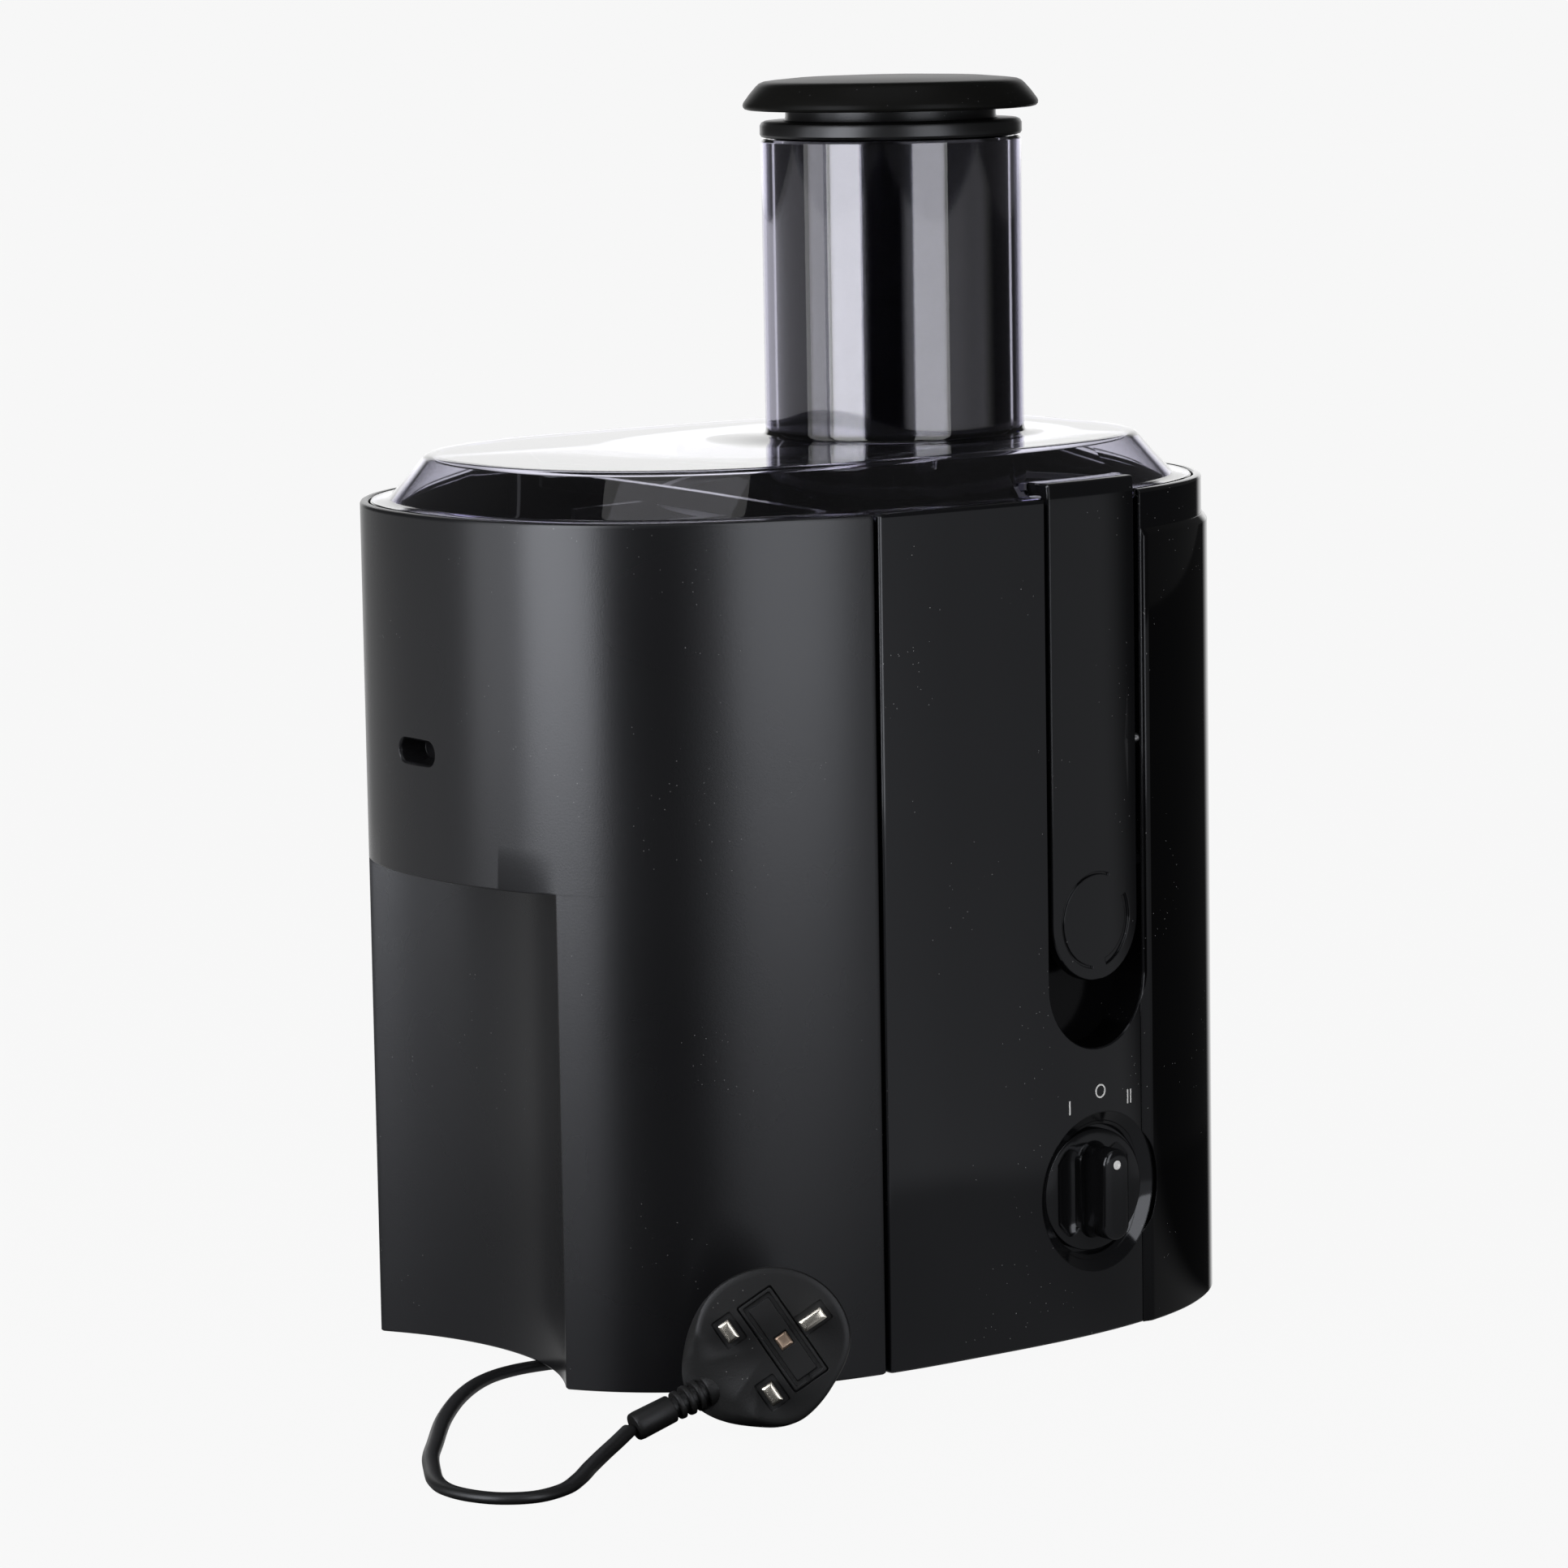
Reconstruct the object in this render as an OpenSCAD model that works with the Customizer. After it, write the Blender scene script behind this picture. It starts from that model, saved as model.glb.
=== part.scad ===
// Centrifugal juicer: motor unit, pulp container, juice bowl, clear lid with feed tube, pusher.
// Millimetres. +X is the spout end, -Y is the side with the control knob, +Z is up.
// The origin lies on the surface that the feet stand on, under the middle of the body.

/* [Body] */
// Length of the body, pulp end to spout end
body_l = 274; // [228:1:330]
// Width of the body across the latches
body_w = 201; // [190:1:242]
// Height of the body's rim above the table
rim_z = 268; // [262:1:322]
// Gap under the body's edge
skirt_z = 4; // [4:0.5:8]
// Wall of the body shells
wall = 2.6; // [1.8:0.1:3.2]
// How square the pulp end of the plan is
rear_power = 2.37; // [2:0.01:3]
// How square the spout end of the plan is
front_power = 2.56; // [2:0.01:3]
// Distance of the spout end's curve centre from the middle
front_centre = 4; // [0:1:12]
// Distance of the pulp end's curve centre behind the middle
rear_centre = 10; // [4:1:16]

/* [Pulp container] */
// Joint line between pulp container and motor unit
seam_x = -38; // [-44:1:-37]
// Gap at the joint line
seam_gap = 1.3; // [0.8:0.1:2]
// Width of the hand scoop in the pulp end
scoop_w = 104; // [80:1:116]
// Depth of the hand scoop
scoop_depth = 15.5; // [8:0.5:20]
// Top of the hand scoop
scoop_top = 156; // [120:1:180]
// Width of the unhooking slot
slot_w = 20; // [14:1:26]
// Height of the unhooking slot
slot_h = 7; // [6:0.5:9]
// Height of the slot's middle above the table
slot_z = 195; // [185:1:230]

/* [Drive] */
// Distance of the drive axis from the middle
drive_x = 45; // [42:1:48]
// Radius of the motor shaft
shaft_r = 4; // [3:0.1:5]
// Outer radius of the stator
stator_r = 40; // [34:1:44]
// Radius of the armature
armature_r = 22; // [18:0.5:25]
// Length of the iron stacks
stack_l = 52; // [40:1:56]
// Outer radius of the shaft bearings
bearing_r = 11; // [9:0.5:13]
// Radius of the drive coupling
coupling_r = 16; // [13:0.5:17]

/* [Bowl and basket] */
// Outer radius of the juice bowl
bowl_r = 79; // [72:0.5:79]
// Top of the juice bowl above the table
bowl_top = 257; // [250:1:259]
// Gap between the basket's rim and the bowl
basket_gap = 4; // [3:0.5:8]
// How much the basket widens from the grater to its rim
basket_flare = 20; // [14:1:22]
// Outer radius of the spout pipe
spout_r = 8; // [6.5:0.5:9]
// Height of the spout pipe above the table
spout_z = 174; // [172:1:180]

/* [Lid and pusher] */
// Outer radius of the feed tube
tube_r = 41.4; // [36:0.1:44]
// Wall of the feed tube
tube_wall = 3.4; // [2.4:0.1:4]
// Top of the feed tube above the rim
tube_rise = 108; // [90:1:130]
// Rise of the lid's top plate above the rim
lid_rise = 14; // [11:1:18]
// Wall of the lid
lid_wall = 2.4; // [2:0.1:2.8]
// Gap between the pusher and the feed tube
pusher_gap = 0.8; // [0.4:0.1:1.2]
// Radius of the pusher's cap
cap_r = 47; // [45:0.5:52]

/* [Latches and knob] */
// Width of a latch lever
latch_w = 38.4; // [32:0.2:40]
// Thickness of a latch lever
latch_t = 4; // [3:0.5:4.5]
// Lowest point of a latch lever
latch_low = 116; // [110:1:135]
// Gap at each side of a latch lever
latch_gap = 1.9; // [0.4:0.1:2.4]
// Height of the latch pivot
latch_pivot_z = 190; // [180:1:200]
// Radius of the latch pin
latch_pin_r = 1.5; // [1.2:0.1:2]
// Height of the knob's middle
knob_z = 49.3; // [44:0.1:52]
// Radius of the knob's disc
knob_r = 19.3; // [15:0.1:20]
// Radius of the knob's recess at the surface
recess_r = 25.3; // [22:0.1:27]
// Width of the knob's grip bar
grip_w = 10; // [7:0.5:12]
// Length of the knob's grip bar
grip_l = 29; // [22:0.5:32]
// How far the grip bar stands out of the disc
grip_h = 12; // [8:0.5:14]

/* [Cord and plug] */
// Width of the flat cord
cord_w = 5.2; // [4.8:0.1:5.4]
// Thickness of the flat cord
cord_t = 3.4; // [3:0.1:3.5]
// Radius of the plug's body
plug_r = 24.5; // [23:0.5:26]
// Thickness of the plug's body
plug_t = 17; // [15:0.5:18]

/* [Hidden] */
$fn = 64;

run_fit = 0.05;      // radial clearance of a turning fit
part_gap = 0.3;      // clearance between pieces that don't run on each other
body_b = body_w / 2;
front_a = body_l / 2 - front_centre;
rear_a = body_l / 2 - rear_centre;
rear_face = seam_x - seam_gap / 2;    // flat face of the pulp container
motor_face = seam_x + seam_gap / 2;   // flat face of the motor unit
big = 2 * body_l;

// levels, from the table up
floor_z = 16;                        // underside of the container's floor
plate_z = 14;                        // underside of the base plate
plate_t = 3;
foot_h = 8;
deck_z = 150;                        // deck that the bowl stands on
deck_t = 3;
bowl_floor = deck_z + deck_t + 7;
chimney_top = bowl_floor + 26;
hub_z = chimney_top + 2;             // underside of the basket's disc
hub_t = 3.5;
basket_top = bowl_top - 11;
bowl_wall = 2.4;
basket_r = bowl_r - bowl_wall - basket_gap - 1.5;
grater_r = basket_r - basket_flare;
weir_z = bowl_top - 19;              // top of the walls between bowl and container
ledge_z = rim_z - 3.3;               // ledge that the lid lies on
flange_t = 3;
plate_top = rim_z + lid_rise;
tube_top = rim_z + tube_rise;
tube_low = hub_z + hub_t + 18;

// ---- plan of the body --------------------------------------------------------------------------
function sgn_pow(v, e) = sign(v) * pow(abs(v), e);
function arc_point(t, cx, a, n) = [cx + a * sgn_pow(cos(t), 2 / n), body_b * sgn_pow(sin(t), 2 / n)];
function arc_normal(p, cx, a, n) =
    let (g = [sgn_pow((p[0] - cx) / a, n - 1) / a, sgn_pow(p[1] / body_b, n - 1) / body_b]) g / norm(g);
function arc_inset(t, cx, a, n, d) = let (p = arc_point(t, cx, a, n)) p - d * arc_normal(p, cx, a, n);
// closed outline of the body, moved inwards by d
function plan_points(d, step) = concat(
    [for (t = [-90 : step : 90 - step / 2]) arc_inset(t, front_centre, front_a, front_power, d)],
    [for (t = [90 : step : 270 - step / 2]) arc_inset(t, -rear_centre, rear_a, rear_power, d)]);
// half width of the body at x, measured on the spout side
function side_y(x) = body_b * pow(1 - pow(abs(x - front_centre) / front_a, front_power), 1 / front_power);

module plan(d = 0, step = 5) { polygon(plan_points(d, step)); }
module slab(z0, z1, d = 0) { translate([0, 0, z0]) linear_extrude(z1 - z0) plan(d); }
module band(z0, z1, d0, d1) {
    translate([0, 0, z0]) linear_extrude(z1 - z0) difference() { plan(d0); plan(d1); }
}
module box(x0, x1, y0, y1, z0, z1) { translate([x0, y0, z0]) cube([x1 - x0, y1 - y0, z1 - z0]); }
module ring(r0, r1, z0, z1) {
    translate([0, 0, z0]) difference() {
        cylinder(r = r1, h = z1 - z0);
        translate([0, 0, -1]) cylinder(r = r0, h = z1 - z0 + 2);
    }
}
module at_drive() { translate([drive_x, 0, 0]) children(); }
module along_y(y0, y1, r) { translate([0, y0, 0]) rotate([-90, 0, 0]) cylinder(r = r, h = y1 - y0); }
module along_x(x0, x1, r) { translate([x0, 0, 0]) rotate([0, 90, 0]) cylinder(r = r, h = x1 - x0); }

// ---- motor unit --------------------------------------------------------------------------------
side_x = drive_x + 2;                // line of the latches and the knob
side_tilt = atan((side_y(side_x - 1) - side_y(side_x + 1)) / 2);    // slope of the side there
pocket_depth = 13;                   // room for the lever's lower end to be pushed in
pocket_low = 95;
pin_y = side_y(side_x) - 6.5;       // latch pivot line
hook_reach = 12;
hook_t = 4;

// upright strip with a round lower end, through one side wall
module strip(w, z_low, z_high, side) {
    y0 = side > 0 ? 0 : -body_b - 20;
    translate([side_x, 0, 0]) {
        box(-w / 2, w / 2, y0, y0 + body_b + 20, z_low + w / 2, z_high);
        translate([0, 0, z_low + w / 2]) along_y(y0, y0 + body_b + 20, w / 2);
    }
}
module latch_pocket_liner(side) {
    intersection() {
        band(pocket_low - 2, ledge_z, 0.5, pocket_depth + 2);
        strip(latch_w + 2 * latch_gap + 4, pocket_low - 2, ledge_z, side);
    }
}
module latch_pocket_cut(side) {
    intersection() {
        band(pocket_low - 1, rim_z + 5, -10, pocket_depth);
        strip(latch_w + 2 * latch_gap, pocket_low, rim_z + 5, side);
    }
}
spindle_r = 3;
knob_face = side_y(side_x) - 6.5;    // floor of the knob's recess
bevel_w = 4.2;
module knob_plate() {
    translate([side_x, 0, knob_z]) along_y(-side_y(side_x) + 1, -knob_face + 3, recess_r + 3);
}
module knob_recess_cut() {
    translate([side_x, 0, knob_z]) {
        along_y(-body_b - 5, -knob_face, knob_r + 0.9);
        along_y(-body_b - 5, -knob_face + 10, spindle_r + 0.3);
        // the bevel round it follows the slope of the side
        translate([0, -side_y(side_x), 0]) rotate([-90, 0, side_tilt]) {
            cylinder(r1 = recess_r, r2 = recess_r - bevel_w, h = 3);
            translate([0, 0, -3]) cylinder(r = recess_r, h = 3.01);
        }
    }
}
module motor_housing() {
    color([0.035, 0.035, 0.04]) difference() {
        union() {
            intersection() {
                union() {
                    band(skirt_z, rim_z, 0, wall);
                    band(ledge_z - 4, ledge_z, 0.5, wall + 4);
                    slab(deck_z, deck_z + deck_t, 0.5);
                }
                box(motor_face, big, -big, big, 0, big);
            }
            intersection() {
                slab(floor_z, weir_z, 0.5);
                box(motor_face, motor_face + wall, -big, big, 0, big);
            }
            for (side = [-1, 1]) latch_pocket_liner(side);
            intersection() { knob_plate(); slab(plate_z + plate_t + 1, deck_z, 0.5); }
        }
        for (side = [-1, 1]) latch_pocket_cut(side);
        knob_recess_cut();
        at_drive() translate([0, 0, deck_z - 1]) cylinder(r = bearing_r + 4, h = deck_t + 2);
        translate([0, 0, spout_z]) along_x(drive_x + bowl_r, big, spout_r + 1.5);
        for (side = [-1, 1]) translate([side_x - 30, side * pin_y, latch_pivot_z])
            along_x(0, 60, latch_pin_r + run_fit);
        // air outlet slots in the far side
        for (i = [0 : 6]) box(0 + 9 * i, 4 + 9 * i, body_b - 12, body_b + 5, 24, 60);
    }
}

panel_x = 66.6;                      // where the front panel starts
panel_t = 1.8;
panel_top = rim_z - 13;
module front_panel() {
    color([0.02, 0.02, 0.022]) difference() {
        intersection() {
            union() {
                band(skirt_z, panel_top, -panel_t, -0.05);
                band(panel_top - 0.01, panel_top + panel_t / 2, -panel_t / 2, -0.05);
            }
            box(panel_x, big, -big, big, 0, big);
        }
        for (side = [-1, 1]) latch_pocket_cut(side);
        knob_recess_cut();
        translate([0, 0, spout_z]) along_x(drive_x + bowl_r, big, spout_r + 1.5);
    }
}

// ---- underside ---------------------------------------------------------------------------------
rail_y = 58;
rail_w = 10;
rail_end = -98;
foot_r = 9;
foot_spots = [[-16, -76], [-16, 76], [92, -52], [92, 52]];
rail_foot_spots = [[-89, -rail_y], [-89, rail_y]];
screw_spots = [[4, -72], [4, 72], [78, -58], [78, 58]];
screw_r = 2;
hub_r = 24;
coil_r0 = hub_r + 0.7;
coil_r1 = coil_r0 + 3 * (cord_w + 0.3);
coil_z0 = 6;
coil_z1 = coil_z0 + 2 * cord_t + 0.2;

module base_plate() {
    color([0.06, 0.06, 0.065]) difference() {
        union() {
            intersection() {
                slab(plate_z, plate_z + plate_t, wall + 0.2);
                box(motor_face + wall + part_gap, big, -big, big, 0, big);
            }
            for (side = [-1, 1]) box(rail_end, 0, side * rail_y - rail_w / 2, side * rail_y + rail_w / 2,
                foot_h, floor_z - part_gap);
            for (p = foot_spots) translate([p[0], p[1], foot_h]) cylinder(r = foot_r + 1,
                h = plate_z - foot_h + 1);
        }
        for (p = screw_spots) translate([p[0], p[1], plate_z - 1]) cylinder(r = screw_r + 0.1,
            h = plate_t + 2);
        // the inlet grille under the motor
        for (i = [-2 : 2]) box(drive_x + 48 + 7 * abs(i), drive_x + 51 + 7 * abs(i), 14 * i - 5, 14 * i + 5,
            plate_z - 1, plate_z + plate_t + 1);
    }
}
module feet() {
    color([0.03, 0.03, 0.03]) for (p = concat(foot_spots, rail_foot_spots)) translate([p[0], p[1], 0]) {
        r = abs(p[0]) > 88 && p[0] < 0 ? foot_r - 2 : foot_r;
        rotate_extrude() polygon([[0, 0], [r - 1.5, 0], [r, 1.5], [r, foot_h], [0, foot_h]]);
    }
}
module base_screws() {
    color([0.6, 0.6, 0.62]) for (p = screw_spots) translate([p[0], p[1], 0]) {
        translate([0, 0, plate_z]) cylinder(r = screw_r, h = 12);
        translate([0, 0, plate_z - 2]) difference() {
            cylinder(r = 2 * screw_r, h = 2);
            for (a = [0, 90]) rotate([0, 0, a]) translate([-screw_r, -0.4, -0.1]) cube([2 * screw_r, 0.8,
                1.1]);
        }
    }
}
module cord_hub() {
    color([0.06, 0.06, 0.065]) at_drive() {
        ring(hub_r - 2.5, hub_r, coil_z0 - 1.2, plate_z);
        for (a = [45 : 90 : 315]) rotate([0, 0, a])
            box(hub_r - 2.4, coil_r1 + 2, -5, 5, coil_z0 - 1.2, coil_z0 - part_gap);
    }
}

// ---- cord --------------------------------------------------------------------------------------
// The coil is wound in two layers on the hub: in from the gland, out to the pulp end.
turn_r = (coil_r1 - cord_w / 2 - 0.15);
feed_z = coil_z1 - cord_t / 2;
gland_dx = 27;                        // the gland's mouth, from the drive axis
feed_route = [[gland_dx, 0], [18, 0], [9, 0], [0, 0]];
// From the coil's outer turn towards the pulp end, then under the container, round the loop beside
// the body and up to the plug.
coil_exit = [[0, 0, 7.7], [-15, 0.4, 7.4], [-30, 1.8, 6.6]];
lead_route = [[-4, -34.5, 5], [-22, -31, 3.2], [-42, -25.5, 2.1], [-60, -21, 1.7], [-80, -17, 1.7],
    [-101, -13, 1.7], [-117, -12, 1.7], [-132, -17, 1.7], [-149, -30, 1.7], [-169, -51, 1.7],
    [-188, -75, 1.7], [-198, -88, 1.7], [-206, -101, 1.7], [-212, -112, 1.7], [-215, -122, 1.7],
    [-214, -132, 1.7], [-209, -141, 1.7], [-200, -146, 1.7], [-189, -144, 1.7], [-179, -137, 1.7],
    [-169, -128, 1.7], [-158, -119, 2.1], [-149, -113, 3.2], [-141, -108, 4.6]];
lead_points = concat([for (p = coil_exit) p + [drive_x, -turn_r, 0]], lead_route);
feed_points = [for (p = feed_route) [drive_x + p[0], -turn_r, feed_z]];

function unit(v) = v / norm(v);
function route_dir(pts, i) = unit(pts[min(i + 1, len(pts) - 1)] - pts[max(i - 1, 0)]);
// Catmull-Rom point between route points
function route_at(pts, i, t) =
    let (n = len(pts) - 1, a = pts[max(i - 1, 0)], b = pts[i], c = pts[min(i + 1, n)], d = pts[min(i + 2, n)])
    0.5 * (2 * b + (c - a) * t + (2 * a - 5 * b + 4 * c - d) * t * t + (3 * b - 3 * c + d - a) * t * t * t);
function smooth_route(pts, k) = concat(
    [for (i = [0 : len(pts) - 2], j = [0 : k - 1]) route_at(pts, i, j / k)], [pts[len(pts) - 1]]);
function cord_ring(p, dir) = let (s = unit(cross([0, 0, 1], dir)), u = cross(dir, s))
    [for (a = [22.5 : 45 : 337.5]) p + s * cos(a) * cord_w / 2 / cos(22.5) + u * sin(a)
        * cord_t / 2 / sin(67.5)];
module cord_tube(pts) {
    n = len(pts);
    points = [for (i = [0 : n - 1]) each cord_ring(pts[i], route_dir(pts, i))];
    sides = [for (i = [0 : n - 2], j = [0 : 7])
        [8 * i + j, 8 * i + (j + 1) % 8, 8 * (i + 1) + (j + 1) % 8, 8 * (i + 1) + j]];
    polyhedron(points, concat([[for (j = [7 : -1 : 0]) j]], sides, [[for (j = [0 : 7]) 8 * (n - 1) + j]]));
}
module cord_coil() {
    color([0.03, 0.03, 0.03]) at_drive() ring(coil_r0, coil_r1, coil_z0, coil_z1);
}
module cord_feed() {
    color([0.03, 0.03, 0.03]) difference() {
        cord_tube(feed_points);
        at_drive() translate([0, 0, coil_z0 - 1]) cylinder(r = coil_r1, h = 20);
    }
}
module cord_lead() {
    color([0.03, 0.03, 0.03]) difference() {
        cord_tube(smooth_route(lead_points, 3));
        at_drive() translate([0, 0, -1]) cylinder(r = coil_r1, h = 20);
    }
}
module cord_gland() {
    gland_x = drive_x + gland_dx - 1;
    color([0.05, 0.05, 0.05]) difference() {
        union() {
            translate([gland_x, -turn_r - 5, feed_z - 3.2]) cube([14, 10, plate_z - feed_z + 3.2]);
            translate([gland_x - 3, -turn_r, feed_z]) along_x(0, 4, 3.6);
        }
        translate([gland_x - 5, -turn_r - 6, plate_z]) cube([20, 12, 5]);
        // the way for the cord, from the mouth to where the gland grips it
        translate([gland_x - 4, -turn_r - cord_w / 2 - 0.05, feed_z - cord_t / 2 - 0.05])
            cube([6, cord_w + 0.1, cord_t + 0.1]);
    }
}

// ---- plug --------------------------------------------------------------------------------------
plug_turn = -36;                      // which way the pins point, seen from above
plug_lean = 12;                       // how far the pins tip upwards
plug_roll = 214;                      // turn of the plug about its pins
pin_pitch = 22.23;
line_x = 7.4;                         // live and neutral pins, from the body's middle
earth_x = line_x - pin_pitch;
carrier_x = -10.2;                    // fuse carrier, between the earth pin and the others
carrier_w = 12;
carrier_l = 30;
plug_z = plug_r * cos(plug_lean) + (plug_t - 3) * sin(plug_lean) + 0.4;
plug_pos = [-103, -127.5, plug_z];
module in_plug() {
    translate(plug_pos) rotate([90 - plug_lean, 0, plug_turn]) rotate([0, 0, plug_roll]) children();
}
// the same place as in_plug, for points
function plug_point(p) =
    let (r = [p[0] * cos(plug_roll) - p[1] * sin(plug_roll), p[0] * sin(plug_roll)
        + p[1] * cos(plug_roll), p[2]],
         e = 90 - plug_lean,
         q = [r[0], r[1] * cos(e) - r[2] * sin(e), r[1] * sin(e) + r[2] * cos(e)])
    plug_pos + [q[0] * cos(plug_turn) - q[1] * sin(plug_turn), q[0] * sin(plug_turn)
        + q[1] * cos(plug_turn), q[2]];
relief_from = plug_point([plug_r - 4.5, 0, -plug_t / 2]);
relief_to = lead_points[len(lead_points) - 1];
relief_gap = 1.7;                     // from the cord's end to the strain relief's
pin_spots = [[line_x, -pin_pitch / 2], [line_x, pin_pitch / 2]];

module plug_body() {
    color([0.035, 0.035, 0.035]) difference() {
        in_plug() rotate_extrude() polygon([[0, 0], [plug_r - 1.5, 0], [plug_r, -1.5], [plug_r, -9],
            [plug_r - 2.5, -13], [plug_r - 6, -plug_t], [0, -plug_t]]);
        in_plug() translate([carrier_x - 0.2, -carrier_l / 2 - 0.2, -2])
            cube([carrier_w + 0.4, carrier_l + 0.4, 4]);
        in_plug() for (p = pin_spots) translate([p[0] - 1.95, p[1] - 3.2, -9]) cube([3.9, 6.4, 12]);
        in_plug() translate([earth_x - 4, -1.95, -9]) cube([8, 3.9, 12]);
        relief_cut();
    }
}
module relief_cut() {
    between(relief_from, relief_to) cylinder(r = 5.4, h = 60);
}
module between(a, b) {
    v = b - a;
    translate(a) rotate([0, acos(v[2] / norm(v)), atan2(v[1], v[0])]) children();
}
module plug_relief() {
    l = norm(relief_to - relief_from) - relief_gap;
    color([0.03, 0.03, 0.03]) between(relief_from, relief_to) difference() {
        cylinder(r1 = 5.3, r2 = 3.3, h = l);
        // grooves that let it bend
        for (i = [0 : 2]) translate([0, 0, l - 6 - 5 * i]) ring(3 + 0.3 * i, 8, 0, 1.8);
    }
}
module plug_pins() {
    color([0.8, 0.76, 0.66]) in_plug() for (p = pin_spots)
        translate([p[0] - 1.9, p[1] - 3.15, -8.9]) cube([3.8, 6.3, 8.9 + 17.7]);
}
module plug_earth_pin() {
    color([0.8, 0.76, 0.66]) in_plug() translate([earth_x - 3.95, -1.9, -8.9]) cube([7.9, 3.8, 8.9 + 22.7]);
}
module fuse_carrier() {
    color([0.05, 0.05, 0.05]) in_plug() translate([carrier_x, -carrier_l / 2, -1.9])
        cube([carrier_w, carrier_l, 2.1]);
}

// ---- motor and electrics -----------------------------------------------------------------------
stack_z = 62;
stack_top = stack_z + stack_l;
shaft_low = 32;
shaft_top = bowl_floor + 18;
bearing_h = 8;
lower_bearing_z = 36;
upper_bearing_z = 138;
air_gap = 0.7;
winding_h = 5;
fan_r = stator_r - 4;
fan_z = stack_top + winding_h + 3;

module motor_stator() {
    color([0.45, 0.46, 0.48]) at_drive() difference() {
        translate([0, 0, stack_z]) cylinder(r = stator_r, h = stack_l);
        translate([0, 0, stack_z - 1]) cylinder(r = armature_r + air_gap, h = stack_l + 2);
        for (side = [-1, 1]) translate([-big / 2, side > 0 ? stator_r - 5 : -stator_r - 5, stack_z - 1])
            cube([big, 10, stack_l + 2]);
    }
}
module field_windings() {
    color([0.62, 0.3, 0.14]) at_drive() for (z0 = [stack_z - winding_h, stack_top], a = [0, 180])
        rotate([0, 0, a])
        translate([0, 0, z0]) rotate_extrude(angle = 120) translate([armature_r + 3, 0]) square([9,
            winding_h]);
}
module bearing_seat(z0, arm_z, arm_t) {
    difference() {
        union() {
            translate([0, 0, z0]) cylinder(r = bearing_r + 3, h = bearing_h);
            box(-stator_r, stator_r, -8, 8, arm_z, arm_z + arm_t);
        }
        translate([0, 0, z0 - 1]) cylinder(r = bearing_r + 0.02, h = bearing_h + 2);
    }
}
module lower_bracket() {
    color([0.7, 0.7, 0.72]) at_drive() {
        bearing_seat(lower_bearing_z, lower_bearing_z, 4);
        for (side = [-1, 1]) box(side > 0 ? stator_r - 4 : -stator_r, side > 0 ? stator_r : 4 - stator_r,
            -8, 8,
            lower_bearing_z, stack_z);
    }
}
module upper_bracket() {
    color([0.7, 0.7, 0.72]) at_drive() {
        bearing_seat(upper_bearing_z, upper_bearing_z + 4, 4);
        for (side = [-1, 1]) box(side > 0 ? stator_r - 3.5 : -stator_r,
            side > 0 ? stator_r : 3.5 - stator_r, -8, 8,
            stack_top, upper_bearing_z + 8);
    }
}
module bearing(z0) { ring(shaft_r + run_fit, bearing_r, z0, z0 + bearing_h); }
module lower_bearing() { color([0.75, 0.75, 0.77]) at_drive() bearing(lower_bearing_z); }
module upper_bearing() { color([0.75, 0.75, 0.77]) at_drive() bearing(upper_bearing_z); }
module brush_holders() {
    color([0.55, 0.42, 0.2]) at_drive() for (side = [-1, 1]) translate([0, side * 18, 51]) rotate([90, 0, 0])
        cube([8, 7, 11], center = true);
}
module motor_mounts() {
    color([0.08, 0.08, 0.08]) at_drive() for (x = [-30, 30], y = [-6, 6]) translate([x, y, plate_z + plate_t])
        cylinder(r = 5, h = lower_bearing_z - plate_z - plate_t);
}
board_x = -26;
module control_board() {
    color([0.1, 0.32, 0.16]) {
        box(board_x, board_x + 1.6, -40, 40, 30, 100);
        box(board_x + 1.7, board_x + 11, -30, -12, 40, 66);
        translate([board_x + 1.7, 12, 70]) along_x(0, 16, 7);
    }
}
switch_y = -knob_face + 3.4;
module rotary_switch() {
    color([0.15, 0.15, 0.16]) translate([side_x, 0, knob_z]) difference() {
        box(-13, 13, switch_y, switch_y + 14, -13, 13);
        along_y(switch_y - 1, switch_y + 9, spindle_r + run_fit);
    }
}
module interlock_switch() {
    color([0.7, 0.1, 0.08]) for (side = [-1, 1]) {
        y = side * (side_y(side_x) - pocket_depth - 8.5);
        box(side_x - 10, side_x + 10, y - 3, y + 3, pocket_low + 4, pocket_low + 15);
    }
}
module wiring() {
    color([0.2, 0.3, 0.6]) {
        // from the board to the switch, and from the board to the brushes
        box(board_x + 12, drive_x - 15, -70, -67, 44, 47);
        box(board_x + 3, board_x + 6, -70, -41, 44, 47);
        box(board_x + 3, board_x + 12.1, -70, -67, 44, 47);
        box(board_x + 12, drive_x - 28, 20, 23, 50, 53);
    }
}
module latch_pins() {
    l = latch_w + 2 * latch_gap + 3.6;
    color([0.7, 0.7, 0.72]) for (side = [-1, 1]) translate([side_x - l / 2, side * pin_y, latch_pivot_z])
        along_x(0, l, latch_pin_r);
}
mark_h = 4.4;
mark_line = 0.45;
mark_z = knob_z + 31.9;              // height of the middle mark
mark_dx = 13.4;
mark_drop = 3.6;
module mark_bar(x, z) { box(x - mark_line / 2, x + mark_line / 2, -big, 0, z - mark_h / 2, z + mark_h / 2); }
module dial_marks() {
    color("white") intersection() {
        band(knob_z + recess_r, pocket_low, -0.25, 0);
        union() {
            mark_bar(side_x - mark_dx, mark_z - mark_drop);
            for (s = [-1, 1]) mark_bar(side_x + mark_dx + s * 0.7, mark_z - mark_drop);
            translate([side_x, 0, mark_z]) difference() {
                along_y(-big, 0, mark_h / 2);
                along_y(-big - 1, 1, mark_h / 2 - mark_line);
            }
        }
    }
}

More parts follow.
